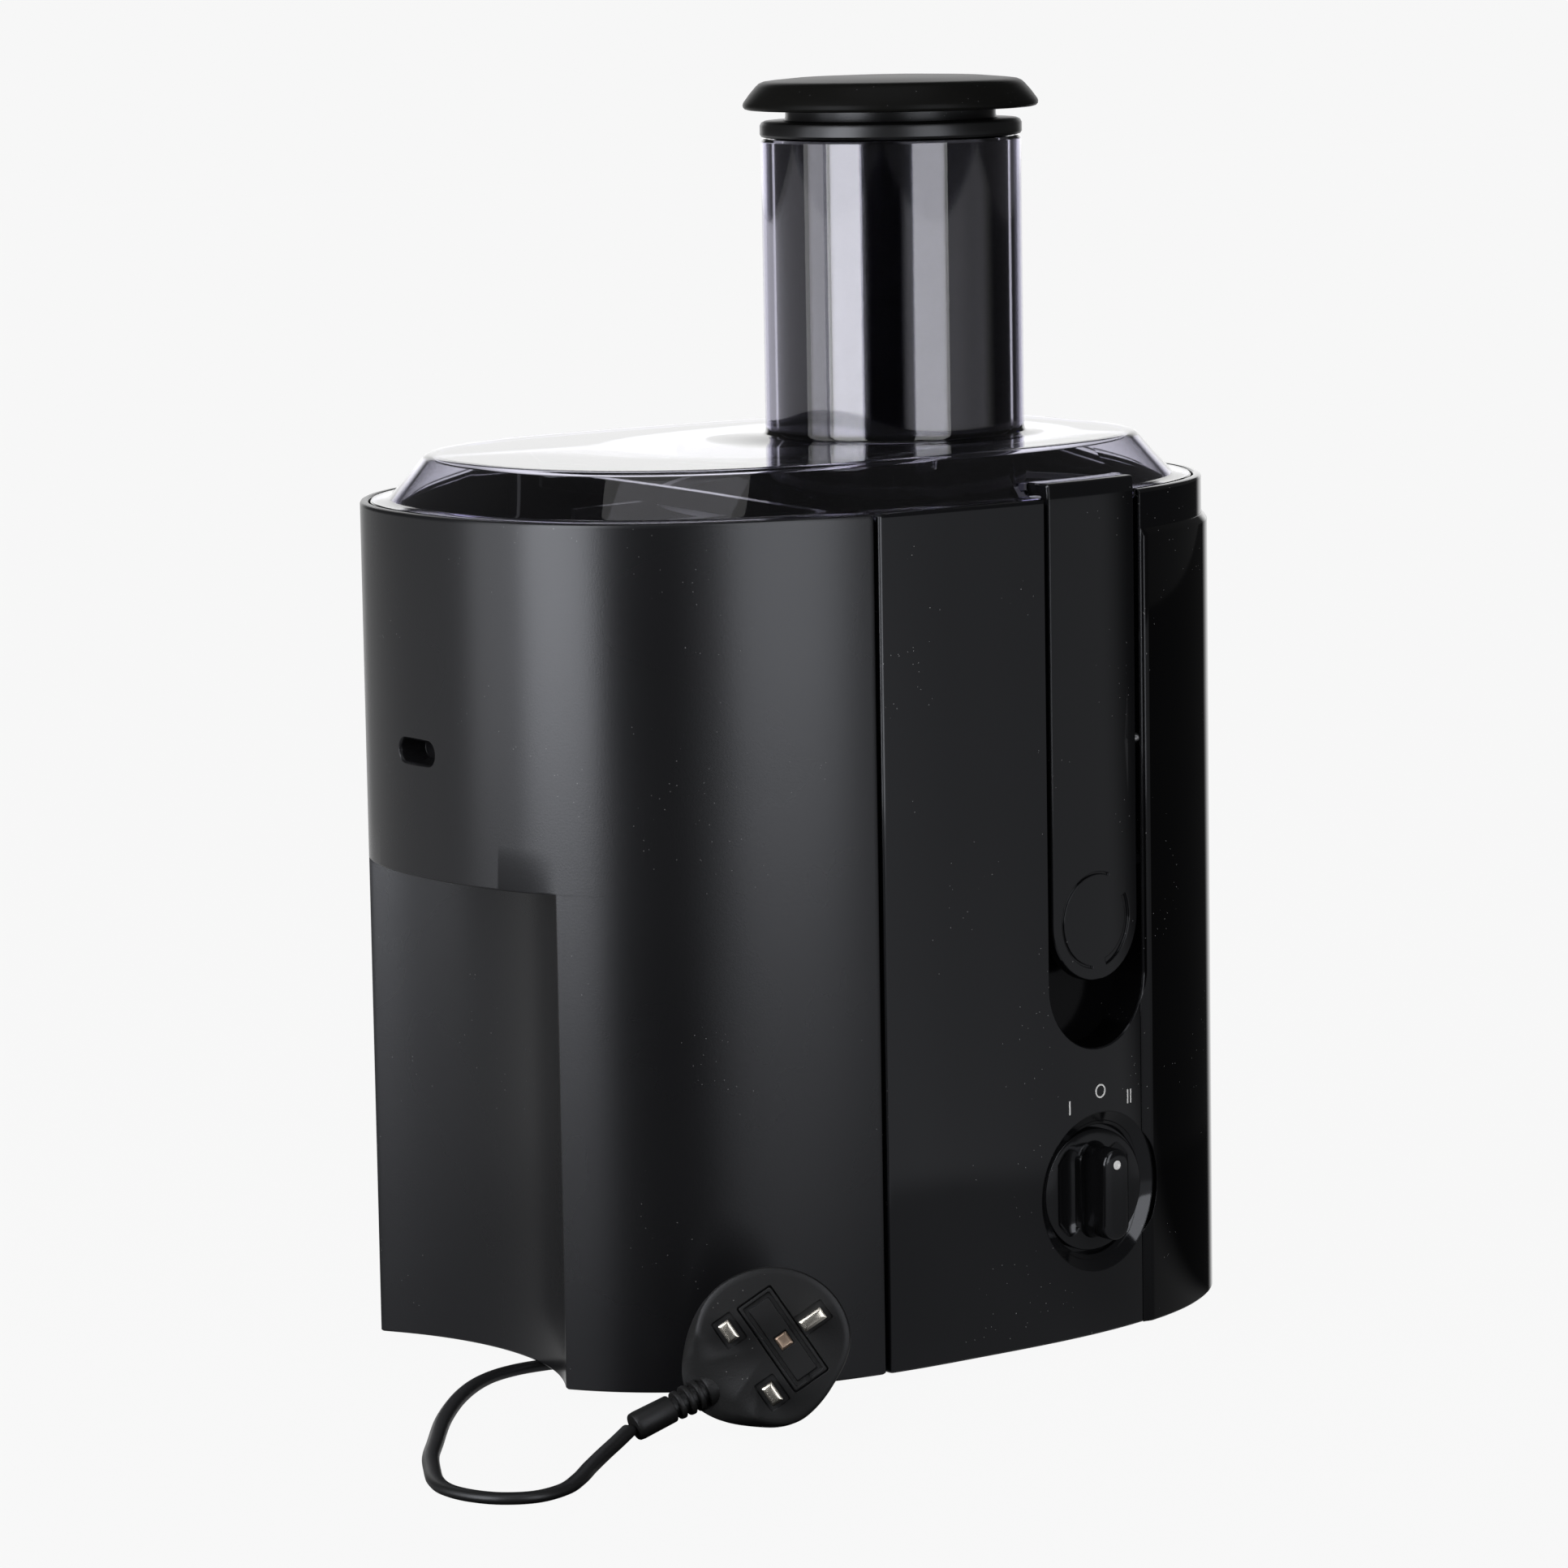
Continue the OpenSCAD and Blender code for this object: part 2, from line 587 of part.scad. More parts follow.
// ---- rotor, basket and grater ------------------------------------------------------------------
module motor_shaft() {
    color([0.75, 0.75, 0.78]) at_drive() translate([0, 0, shaft_low]) cylinder(r = shaft_r,
        h = shaft_top - shaft_low);
}
module armature() {
    color([0.5, 0.42, 0.38]) at_drive() difference() {
        translate([0, 0, stack_z]) cylinder(r = armature_r, h = stack_l);
        translate([0, 0, stack_z - 1]) cylinder(r = shaft_r, h = stack_l + 2);
        for (a = [0 : 30 : 330]) rotate([0, 0, a]) translate([armature_r - 3, -0.9, stack_z - 1])
            cube([5, 1.8, stack_l + 2]);
    }
}
module commutator() {
    color([0.75, 0.42, 0.2]) at_drive() difference() {
        ring(shaft_r, 11, 46, 57);
        for (a = [0 : 15 : 345]) rotate([0, 0, a]) translate([10, -0.2, 45]) cube([3, 0.4, 13]);
    }
}
module cooling_fan() {
    color([0.12, 0.12, 0.13]) at_drive() {
        ring(shaft_r, fan_r - 2, fan_z, fan_z + 2);
        for (a = [0 : 30 : 330]) rotate([0, 0, a]) box(11, fan_r - 3, -0.8, 0.8, fan_z + 2, fan_z + 9);
    }
}
module drive_coupling() {
    color([0.7, 0.7, 0.7]) at_drive() difference() {
        translate([0, 0, deck_z + deck_t + 3]) cylinder(r = coupling_r, h = hub_z - deck_z - deck_t - 3);
        translate([0, 0, deck_z]) cylinder(r = shaft_r, h = shaft_top - deck_z);
        for (a = [0 : 60 : 300]) rotate([0, 0, a]) box(coupling_r - 2, coupling_r + 2, -2, 2, bowl_floor,
            big);
    }
}
module basket_hub() {
    color([0.1, 0.1, 0.11]) at_drive() difference() {
        union() {
            translate([0, 0, hub_z]) cylinder(r = grater_r + 4, h = hub_t);
            translate([0, 0, bowl_floor + 6]) cylinder(r = coupling_r + 3.4, h = hub_z - bowl_floor - 5);
        }
        translate([0, 0, bowl_floor + 5]) cylinder(r = coupling_r, h = hub_z - bowl_floor - 5);
    }
}
mesh_t = 0.9;
module basket_mesh() {
    r0 = grater_r + 2.5;
    z0 = hub_z + hub_t;
    color([0.75, 0.76, 0.78]) at_drive() rotate_extrude() polygon([[r0, z0], [r0 + mesh_t, z0],
        [basket_r - 1.5, basket_top], [basket_r - 1.5 - mesh_t, basket_top]]);
}
module basket_rim() {
    color([0.1, 0.1, 0.11]) at_drive() rotate_extrude() polygon([[basket_r - 4, basket_top],
        [basket_r + 1.5, basket_top], [basket_r + 1.5, basket_top + 4], [basket_r - 2.5, basket_top + 4]]);
}
module grater_disc() {
    z0 = hub_z + hub_t;
    color([0.78, 0.79, 0.8]) at_drive() {
        translate([0, 0, z0]) cylinder(r = grater_r, h = 1);
        for (k = [1 : 5], a = [0 : 360 / (6 * k) : 359]) rotate([0, 0, a + 7 * k])
            translate([8.5 * k + 4, 0, z0 + 0.9])
            cylinder(r1 = 1.3, r2 = 0, h = 2.2, $fn = 4);
    }
}

// ---- bowl and spout ----------------------------------------------------------------------------
pipe_end = body_l / 2 + panel_t + 4;
module juice_bowl() {
    color([0.045, 0.045, 0.05]) difference() {
        union() {
            at_drive() translate([0, 0, deck_z + deck_t + 0.5]) cylinder(r = bowl_r,
                h = bowl_top - deck_z - deck_t - 0.5);
            intersection() {
                at_drive() translate([0, 0, bowl_top - 2.4]) cylinder(r = bowl_r + 5, h = 2.4);
                slab(deck_z, rim_z, pocket_depth + 2.5);
            }
            // lip that leads the pulp over the weir
            box(motor_face - 12, drive_x - bowl_r * 0.8, -46, 46, weir_z + 3, weir_z + 6);
            for (side = [-1, 1]) box(motor_face - 12, drive_x - bowl_r * 0.75, side * 46 - 1.2,
                side * 46 + 1.2,
                weir_z + 3, bowl_top);
            translate([0, 0, spout_z]) along_x(drive_x + bowl_r - 6, pipe_end, spout_r);
        }
        at_drive() {
            difference() {
                translate([0, 0, bowl_floor + 3]) cylinder(r = bowl_r - bowl_wall, h = big);
                translate([0, 0, bowl_floor]) cylinder(r = coupling_r + 7.4, h = chimney_top - bowl_floor);
            }
            translate([0, 0, deck_z]) cylinder(r = coupling_r + 5, h = big);
            // recess under the floor
            difference() {
                translate([0, 0, deck_z]) cylinder(r = bowl_r - bowl_wall, h = bowl_floor - deck_z);
                translate([0, 0, deck_z - 1]) cylinder(r = coupling_r + 7.4, h = 20);
            }
        }
        // pulp gate in the bowl's wall
        box(motor_face - 13, drive_x - bowl_r * 0.6, -44.8, 44.8, weir_z + 6, big);
        translate([0, 0, spout_z]) along_x(drive_x + bowl_r - 12, pipe_end + 1, spout_r - 2);
    }
}
module bowl_seal() {
    color([0.5, 0.5, 0.52]) at_drive() ring(coupling_r + 4, coupling_r + 7, chimney_top, chimney_top + 1.5);
}
module spout_seal() {
    color([0.5, 0.5, 0.52]) translate([0, 0, spout_z]) rotate([0, 90, 0])
        ring(spout_r, spout_r + 1.2, body_l / 2 - wall, body_l / 2);
}
nozzle_end = pipe_end + 13;
module spout_nozzle() {
    x0 = body_l / 2 + panel_t + 0.5;
    mouth_x = pipe_end + 0.5 + spout_r - 1.5;
    color([0.03, 0.03, 0.035]) translate([0, 0, spout_z]) difference() {
        union() {
            along_x(x0, mouth_x, spout_r + 1.8);
            translate([mouth_x, 0, 0]) sphere(r = spout_r + 1.8);
            translate([mouth_x, 0, -22]) cylinder(r1 = spout_r - 0.5, r2 = spout_r + 1.5, h = 22);
        }
        along_x(x0 - 1, pipe_end + 0.5, spout_r + run_fit);
        along_x(pipe_end, mouth_x, spout_r - 2);
        translate([mouth_x, 0, -23]) cylinder(r = spout_r - 2.2, h = 23);
        translate([mouth_x, 0, 0]) sphere(r = spout_r - 2);
    }
}

// ---- pulp container ----------------------------------------------------------------------------
scoop_r = (scoop_w * scoop_w / 4 + scoop_depth * scoop_depth) / (2 * scoop_depth);
rear_at_scoop = rear_centre + rear_a * pow(1 - pow(scoop_w / body_w, rear_power), 1 / rear_power);
scoop_x = -rear_at_scoop + scoop_depth;    // deepest line of the scoop
module scoop(d) { translate([scoop_x - scoop_r, 0]) circle(r = scoop_r + d, $fn = 120); }
module rear_cut(d) { translate([rear_face - d - big, -big / 2]) square([big, big]); }
slot_y = 5;
slot_deep = 9;
module slot_shape(grow, x0, x1) {
    for (s = [-1, 1]) translate([0, slot_y + s * (slot_w - slot_h) / 2, slot_z]) along_x(x0, x1,
        slot_h / 2 + grow);
    box(x0, x1, slot_y - (slot_w - slot_h) / 2, slot_y + (slot_w - slot_h) / 2,
        slot_z - slot_h / 2 - grow, slot_z + slot_h / 2 + grow);
}
module container_outside() {
    translate([0, 0, skirt_z]) linear_extrude(scoop_top - skirt_z)
        difference() { intersection() { plan(0); rear_cut(0); } scoop(0); }
    translate([0, 0, scoop_top]) linear_extrude(rim_z - scoop_top) intersection() { plan(0); rear_cut(0); }
}
module container_inside() {
    floor_t = 2.6;
    translate([0, 0, floor_z + floor_t]) linear_extrude(scoop_top + wall - floor_z - floor_t)
        difference() { intersection() { plan(wall); rear_cut(wall); } scoop(wall); }
    translate([0, 0, scoop_top + wall - 0.01]) linear_extrude(rim_z - scoop_top)
        intersection() { plan(wall); rear_cut(wall); }
}
module container_under() {
    translate([0, 0, skirt_z - 1]) linear_extrude(floor_z - skirt_z + 1)
        difference() { intersection() { plan(wall); rear_cut(-10); } scoop(wall); }
}
module pulp_container() {
    back = -body_l / 2;
    color([0.06, 0.06, 0.063]) difference() {
        union() {
            difference() { container_outside(); container_inside(); }
            intersection() { slot_shape(2, back, back + slot_deep + 3); slab(skirt_z, rim_z, 0.5); }
        }
        container_under();
        box(rear_face - wall - 1, rear_face + 1, -side_cut, side_cut, weir_z, big);
        slot_shape(0, back - 2, back + slot_deep);
    }
}
side_cut = body_b - wall - 1;

// ---- lid ---------------------------------------------------------------------------------------
lid_edge = wall + 0.5;               // inset of the flange's edge
slope_low = 9;                       // inset of the sloping wall's foot
slope_high = slope_low + lid_rise - 2;
notch_top = rim_z + (hook_reach + 0.6 - slope_low) * lid_rise / (slope_high - slope_low) + 0.5;
module lid_form(d, z_low, z_high) {
    hull() {
        translate([0, 0, z_low]) linear_extrude(0.1) plan(slope_low + d, 7.5);
        translate([0, 0, z_high - 0.1]) linear_extrude(0.1) plan(slope_high + d, 7.5);
    }
}
module lid() {
    color([0.85, 0.85, 0.92, 0.35]) difference() {
        union() {
            difference() {
                union() {
                    translate([0, 0, rim_z - flange_t]) linear_extrude(flange_t) plan(lid_edge, 7.5);
                    lid_form(0, rim_z - 0.2, plate_top);
                }
                lid_form(lid_wall, rim_z - flange_t - 0.1, plate_top - lid_wall);
                translate([0, 0, rim_z - flange_t - 1]) linear_extrude(2) plan(slope_low + lid_wall, 7.5);
            }
            // backs of the hook notches
            for (side = [-1, 1]) intersection() {
                band(rim_z - flange_t, notch_top, slope_low + 0.5, hook_reach + 0.6 + lid_wall);
                lid_side(latch_w / 2 + 3, side);
            }
            at_drive() translate([0, 0, tube_low]) cylinder(r = tube_r, h = tube_top - tube_low);
        }
        at_drive() translate([0, 0, tube_low - 1]) cylinder(r = tube_r - tube_wall, h = tube_top);
        // notches for the latch hooks
        for (side = [-1, 1]) intersection() {
            union() {
                band(rim_z - flange_t - 1, rim_z + hook_t + 2, -5, latch_t + 0.8);
                band(rim_z, plate_top + 5, -5, hook_reach + 0.6);
            }
            lid_side(latch_w / 2 + 0.8, side);
        }
    }
}
// the part of the lid's edge that lies behind one latch
module lid_side(half_w, side) {
    translate([side_x, 0, 0]) box(-half_w, half_w, side > 0 ? 0 : -big, side > 0 ? big : 0, 0, big);
}
module lid_seal() {
    color([0.3, 0.3, 0.32]) at_drive() ring(bowl_r - 4, bowl_r - 1, bowl_top + 0.3, bowl_top + 3);
}

// ---- pusher ------------------------------------------------------------------------------------
pusher_r = tube_r - tube_wall - pusher_gap;
pusher_low = tube_low - 4;
collar_h = 5.2;
collar_z = tube_top + part_gap;
neck_h = 3.6;
cap_z = collar_z + collar_h + neck_h;
module pusher_body() {
    color([0.05, 0.05, 0.055]) at_drive() difference() {
        translate([0, 0, pusher_low]) cylinder(r = pusher_r, h = collar_z - pusher_low);
        translate([0, 0, pusher_low + 3]) cylinder(r = pusher_r - 2.6, h = collar_z);
    }
}
module pusher_collar() {
    color([0.03, 0.03, 0.03]) at_drive() rotate_extrude() polygon([[0, collar_z], [tube_r - 0.8, collar_z],
        [tube_r + 0.3, collar_z + 1], [tube_r + 0.3, collar_z + collar_h - 1.2], [tube_r - 1,
            collar_z + collar_h],
        [29, collar_z + collar_h], [29, cap_z], [0, cap_z]]);
}
module pusher_cap() {
    color([0.06, 0.06, 0.06]) at_drive() rotate_extrude() polygon([[0, cap_z], [cap_r - 1.2, cap_z],
        [cap_r, cap_z + 1], [cap_r, cap_z + 2], [cap_r - 5.2, cap_z + 8], [cap_r - 8, cap_z + 8.8], [20,
            cap_z + 10],
        [0, cap_z + 10.3]]);
}

// ---- latches and knob --------------------------------------------------------------------------
module latch(side) {
    color([0.035, 0.035, 0.04]) difference() {
        union() {
            intersection() { band(latch_low, rim_z, 0, latch_t); strip(latch_w, latch_low, rim_z, side); }
            intersection() {
                union() {
                    band(rim_z - 8, rim_z + hook_t + 0.5, 1.2, latch_t);
                    band(rim_z + 0.5, rim_z + hook_t + 0.5, 1.2, hook_reach);
                }
                strip(latch_w, latch_low, rim_z + hook_t + 1, side);
            }
            // boss round the pin
            intersection() {
                union() {
                    translate([side_x, side * pin_y, latch_pivot_z]) along_x(-latch_w / 2, latch_w / 2, 3.6);
                    translate([side_x - latch_w / 2, side > 0 ? pin_y : -body_b, latch_pivot_z - 3.6])
                        cube([latch_w, body_b - pin_y, 7.2]);
                }
                slab(0, rim_z, 0.5);
            }
        }
        translate([side_x, side * pin_y, latch_pivot_z]) along_x(-30, 30, latch_pin_r + run_fit);
        // ring groove that shows where to press
        intersection() {
            band(latch_low, rim_z, -1, 0.7);
            translate([side_x, 0, latch_low + latch_w / 2]) difference() {
                along_y(side > 0 ? 0 : -big, side > 0 ? big : 0, 15);
                along_y(-big - 1, big + 1, 12.6);
            }
        }
    }
}
module latch_near() { latch(-1); }
module latch_far() { latch(1); }
knob_disc = knob_face + 2.6;          // front of the knob's disc
knob_out = knob_disc + grip_h;        // front of its grip bar
dot_z = grip_l / 2 - grip_w / 2;
// bar with round ends, upright, from y0 to y1
module grip(w, l, y0, y1) {
    for (s = [-1, 1]) translate([0, 0, s * (l - w) / 2]) along_y(y0, y1, w / 2);
    box(-w / 2, w / 2, y0, y1, -(l - w) / 2, (l - w) / 2);
}
module knob() {
    color([0.03, 0.03, 0.033]) translate([side_x, 0, knob_z]) difference() {
        union() {
            difference() {
                along_y(-knob_disc, -knob_face - 0.5, knob_r);
                // dished round the grip bar
                grip(grip_w + 16, grip_l + 4, -knob_disc - 1, -knob_disc + 1.2);
            }
            grip(grip_w, grip_l, -knob_out, -knob_disc + 1.5);
        }
        along_y(-knob_face - 6, -knob_face + 1, spindle_r);
        translate([0, 0, dot_z]) along_y(-knob_out - 1, -knob_out + 0.6, 1.5);
    }
}
module knob_spindle() {
    color([0.7, 0.7, 0.72]) translate([side_x, 0, knob_z]) along_y(-knob_face - 6, switch_y + 8, spindle_r);
}
module knob_dot() {
    color("white") translate([side_x, 0, knob_z + dot_z]) along_y(-knob_out + 0.05, -knob_out + 0.6, 1.45);
}

motor_housing();
front_panel();
base_plate();
feet();
base_screws();
cord_hub();
cord_gland();
motor_stator();
field_windings();
lower_bracket();
upper_bracket();
lower_bearing();
upper_bearing();
brush_holders();
motor_mounts();
control_board();
rotary_switch();
interlock_switch();
wiring();
latch_pins();
dial_marks();
armature();
commutator();
motor_shaft();
cooling_fan();
drive_coupling();
basket_hub();
basket_mesh();
basket_rim();
grater_disc();
juice_bowl();
bowl_seal();
spout_seal();
spout_nozzle();
pulp_container();
lid();
lid_seal();
pusher_body();
pusher_collar();
pusher_cap();
latch_near();
latch_far();
knob();
knob_spindle();
knob_dot();
cord_coil();
cord_feed();
cord_lead();
plug_body();
plug_relief();
plug_pins();
plug_earth_pin();
fuse_carrier();
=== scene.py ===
import bpy
import numpy as np
from math import cos, pi, radians, sin
from mathutils import Matrix, Vector


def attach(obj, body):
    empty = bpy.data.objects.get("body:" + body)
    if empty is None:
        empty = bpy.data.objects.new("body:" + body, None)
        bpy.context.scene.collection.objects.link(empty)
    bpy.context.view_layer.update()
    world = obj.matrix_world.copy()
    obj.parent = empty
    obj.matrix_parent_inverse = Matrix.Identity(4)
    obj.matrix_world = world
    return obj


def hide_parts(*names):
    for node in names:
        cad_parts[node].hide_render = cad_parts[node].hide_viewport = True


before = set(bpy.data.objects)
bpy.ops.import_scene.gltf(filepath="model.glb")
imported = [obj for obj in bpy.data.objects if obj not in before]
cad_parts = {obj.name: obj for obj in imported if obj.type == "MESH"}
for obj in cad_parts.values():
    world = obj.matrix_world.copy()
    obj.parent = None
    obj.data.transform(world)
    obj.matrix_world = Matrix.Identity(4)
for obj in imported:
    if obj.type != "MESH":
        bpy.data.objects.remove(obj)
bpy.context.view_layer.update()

# ---- Camera ----
# A long lens from the pulp end's near corner, a little above the rim, two metres away.
look_right = Vector((0.80507563, -0.59294019, -0.01658805))
look_up = Vector((0.09558748, 0.10208469, 0.99017259))
look_back = Vector((-0.58541973, -0.79874943, 0.13886356))
bpy.ops.object.select_all(action="DESELECT")
bpy.ops.object.camera_add()
camera = bpy.context.object
camera.matrix_world = Matrix.Translation((-1.17087, -1.59568, 0.44991)) @ Matrix(
    (look_right, look_up, look_back)).transposed().to_4x4()
camera.data.lens = 144.16
camera.data.sensor_width = 36
camera.data.clip_start = 0.1
camera.data.clip_end = 60
bpy.context.scene.camera = camera


# ---- Mains cord ----
# A flat twin PVC cord. Its spare length is wound in two layers on the hub under the motor, and the
# rest runs under the pulp container, out at its end, round a loop on the table and up to the plug.
def skin(name, rows):
    """A grid primitive whose rows are laid on the given closed rows of points, then merged at its seams."""
    rows = np.array([np.asarray(r, float) for r in rows])
    down, across = rows.shape[:2]
    bpy.ops.object.select_all(action="DESELECT")
    bpy.ops.mesh.primitive_grid_add(x_subdivisions=across, y_subdivisions=down - 1, size=1)
    piece = bpy.context.object
    piece.name = piece.data.name = name
    mesh = piece.data
    place = np.zeros(len(mesh.vertices) * 3)
    mesh.vertices.foreach_get("co", place)
    place = place.reshape(-1, 3)
    column = np.rint((place[:, 0] + 0.5) * across).astype(int) % across
    line = np.rint((place[:, 1] + 0.5) * (down - 1)).astype(int)
    mesh.vertices.foreach_set("co", rows[line, column].ravel())
    bpy.ops.object.mode_set(mode="EDIT")
    bpy.ops.mesh.select_all(action="SELECT")
    bpy.ops.mesh.remove_doubles(threshold=1e-6)
    bpy.ops.mesh.dissolve_degenerate(threshold=1e-7)
    bpy.ops.mesh.normals_make_consistent(inside=False)
    bpy.ops.object.mode_set(mode="OBJECT")
    return piece


def solid(name, rows):
    """A skin with no hole: each end row is drawn together to a point."""
    first, last = (np.tile(np.mean(rows[k], axis=0), (len(rows[0]), 1)) for k in (0, -1))
    return skin(name, [first, *rows, last])


def along(points, step):
    """Points a fixed step apart on the smooth curve through the given ones."""
    p = np.asarray(points, float)
    p = np.vstack([2 * p[0] - p[1], p, 2 * p[-1] - p[-2]])
    t = np.linspace(0, 1, 24, endpoint=False)[:, None]
    curve = [0.5 * (2 * b + (c - a) * t + (2 * a - 5 * b + 4 * c - d) * t**2 + (3 * b - 3 * c + d - a) * t**3)
             for a, b, c, d in zip(p[:-3], p[1:-2], p[2:-1], p[3:])]
    curve = np.vstack([*curve, p[-2][None]])
    run = np.r_[0, np.cumsum(np.linalg.norm(np.diff(curve, axis=0), axis=1))]
    at = np.linspace(0, run[-1], max(2, int(round(run[-1] / step)) + 1))
    return np.stack([np.interp(at, run, curve[:, k]) for k in range(3)], axis=1)


drive_x = 0.045
cord_w, cord_t, cord_step = 0.0052, 0.0034, 0.0016
turn_out, turn_in, wound_turns = 0.03845, 0.02745, 4     # outer and inner turn of the winding
layer_top, layer_low = 0.0113, 0.0077
gland_mouth = (0.072, -turn_out, layer_top)
feed = [gland_mouth, (0.066, -turn_out, layer_top), (0.056, -turn_out, layer_top)]
winding = []
for turn in np.linspace(0, wound_turns, wound_turns * 48 + 1):
    angle = -pi / 2 - 2 * pi * turn
    inward = (turn if turn < 2 else wound_turns - turn) / 2
    reach = turn_out - (turn_out - turn_in) * inward
    drop = min(max((turn - 2) / 0.3, 0), 1)
    height = layer_top + (layer_low - layer_top) * drop * drop * (3 - 2 * drop)
    winding.append((drive_x + reach * cos(angle), reach * sin(angle), height))
lead_mm = [
    (30, -38.1, 7.4), (15, -36.65, 6.6), (-4, -34.5, 5), (-22, -31, 3.2), (-42, -25.5, 2.1), (-60, -21, 1.7),
    (-80, -17, 1.7), (-101, -13, 1.7), (-117, -12, 1.7), (-132, -17, 1.7), (-149, -30, 1.7),
    (-169, -51, 1.7), (-188, -75, 1.7), (-198, -88, 1.7), (-206, -101, 1.7), (-212, -112, 1.7),
    (-215, -122, 1.7), (-214, -132, 1.7), (-209, -141, 1.7), (-200, -146, 1.7), (-189, -144, 1.7),
    (-179, -137, 1.7), (-169, -128, 1.7), (-158, -119, 2.1), (-149, -113, 3.2), (-141, -108, 4.6)]
route = along(feed + winding + [tuple(v / 1000 for v in p) for p in lead_mm], cord_step)


def oval_tube(points, half_w, half_t, count=16):
    """Rings of a flat cord, lying on its flat side, with a shallow groove down each face."""
    rows = []
    for i, p in enumerate(points):
        ahead = points[min(i + 1, len(points) - 1)] - points[max(i - 1, 0)]
        ahead /= np.linalg.norm(ahead)
        side = np.cross((0, 0, 1), ahead)
        side /= np.linalg.norm(side)
        top = np.cross(ahead, side)
        a = np.linspace(0, 2 * pi, count, endpoint=False)
        flat = np.sign(np.cos(a)) * np.abs(np.cos(a)) ** 0.75
        groove = 1 - 0.07 * np.exp(-((np.cos(a) / 0.3) ** 2))
        rows.append(p + np.outer(flat * half_w, side) + np.outer(np.sin(a) * groove * half_t, top))
    return rows


cord = solid("mains_cord", oval_tube(route, cord_w / 2, cord_t / 2))


def add(tree, kind, feeds=(), **settings):
    """A shader node with its settings, and its inputs given as values or as sockets to link from."""
    made = tree.nodes.new("ShaderNode" + kind)
    for label, value in settings.items():
        setattr(made, label, value)
    for label, value in dict(feeds).items():
        if isinstance(value, bpy.types.NodeSocket):
            tree.links.new(value, made.inputs[label])
        else:
            made.inputs[label].default_value = value
    return made


def maths(tree, what, *terms):
    """One sum over values and sockets."""
    return add(tree, "Math", enumerate(terms), operation=what).outputs[0]


def colour_mix(tree, mask, low, high):
    """A mix of two colours, or of two greys, by a mask."""
    low, high = ((*np.broadcast_to(tone, 3).tolist(), 1) for tone in (low, high))
    return add(tree, "Mix", {0: mask, 6: low, 7: high}, data_type="RGBA").outputs[2]


def new_group(name, inputs, outputs):
    """An empty shader group with the given float inputs and outputs."""
    group = bpy.data.node_groups.new(name, "ShaderNodeTree")
    for label, value in inputs:
        group.interface.new_socket(label, in_out="INPUT", socket_type="NodeSocketFloat").default_value = value
    for label in outputs:
        group.interface.new_socket(label, in_out="OUTPUT", socket_type="NodeSocketFloat")
    return group, group.nodes.new("NodeGroupInput").outputs, group.nodes.new("NodeGroupOutput").inputs


# Moulded grain: a fine spark-eroded skin over a faint slow waviness, as tool steel leaves on plastic.
grain, paces, grain_out = new_group("moulded_grain", [("Grain per metre", 2500), ("Wave per metre", 22)],
                                    ["Height", "Mottle"])
place = add(grain, "TexCoord").outputs["Object"]
fine = add(grain, "TexNoise", {"Vector": place, "Scale": paces[0], "Detail": 3})
pits = add(grain, "TexVoronoi", {"Vector": place, "Scale": paces[0]})
slow = add(grain, "TexNoise", {"Vector": place, "Scale": paces[1], "Detail": 1})
grain.links.new(maths(grain, "ADD", maths(grain, "MULTIPLY", fine.outputs[0], 0.6),
                      maths(grain, "MULTIPLY", pits.outputs["Distance"], 0.4)), grain_out[0])
grain.links.new(slow.outputs[0], grain_out[1])

# Dust and handling: sparse pale specks and broad smears where hands have polished or dulled it.
handling, speck_in, marks_out = new_group(
    "dust_and_smears", [("Specks per metre", 420), ("Speck size", 0.07)], ["Specks", "Smears"])
place = add(handling, "TexCoord").outputs["Object"]
cells = add(handling, "TexVoronoi", {"Vector": place, "Scale": speck_in[0]})
patches = add(handling, "TexNoise", {"Vector": place, "Scale": 30})
smear = add(handling, "TexNoise", {"Vector": place, "Scale": 14, "Detail": 4, "Distortion": 0.6})
handling.links.new(maths(handling, "MULTIPLY",
                         maths(handling, "LESS_THAN", cells.outputs["Distance"], speck_in[1]),
                         maths(handling, "GREATER_THAN", patches.outputs[0], 0.56)), marks_out[0])
handling.links.new(smear.outputs[0], marks_out[1])


def base_material(name, dark, light, smooth, rough, grain_scale, dust=0.0):
    """A material with a mottled colour and an uneven polish; gives it, its tree, shader and grain node."""
    made = bpy.data.materials.new(name)
    made.use_nodes = True
    tree = made.node_tree
    shader = tree.nodes["Principled BSDF"]
    grained = add(tree, "Group", {0: grain_scale}, node_tree=grain)
    marks = add(tree, "Group", node_tree=handling)
    base = colour_mix(tree, grained.outputs["Mottle"], dark, light)
    if dust:
        speck = maths(tree, "MULTIPLY", marks.outputs["Specks"], dust)
        base = add(tree, "Mix", {0: speck, 6: base, 7: (0.35, 0.35, 0.36, 1)}, data_type="RGBA").outputs[2]
    polish = add(tree, "MapRange", {"To Min": smooth, "To Max": rough, "Value": marks.outputs["Smears"]})
    tree.links.new(base, shader.inputs["Base Color"])
    tree.links.new(polish.outputs[0], shader.inputs["Roughness"])
    return made, tree, shader, grained


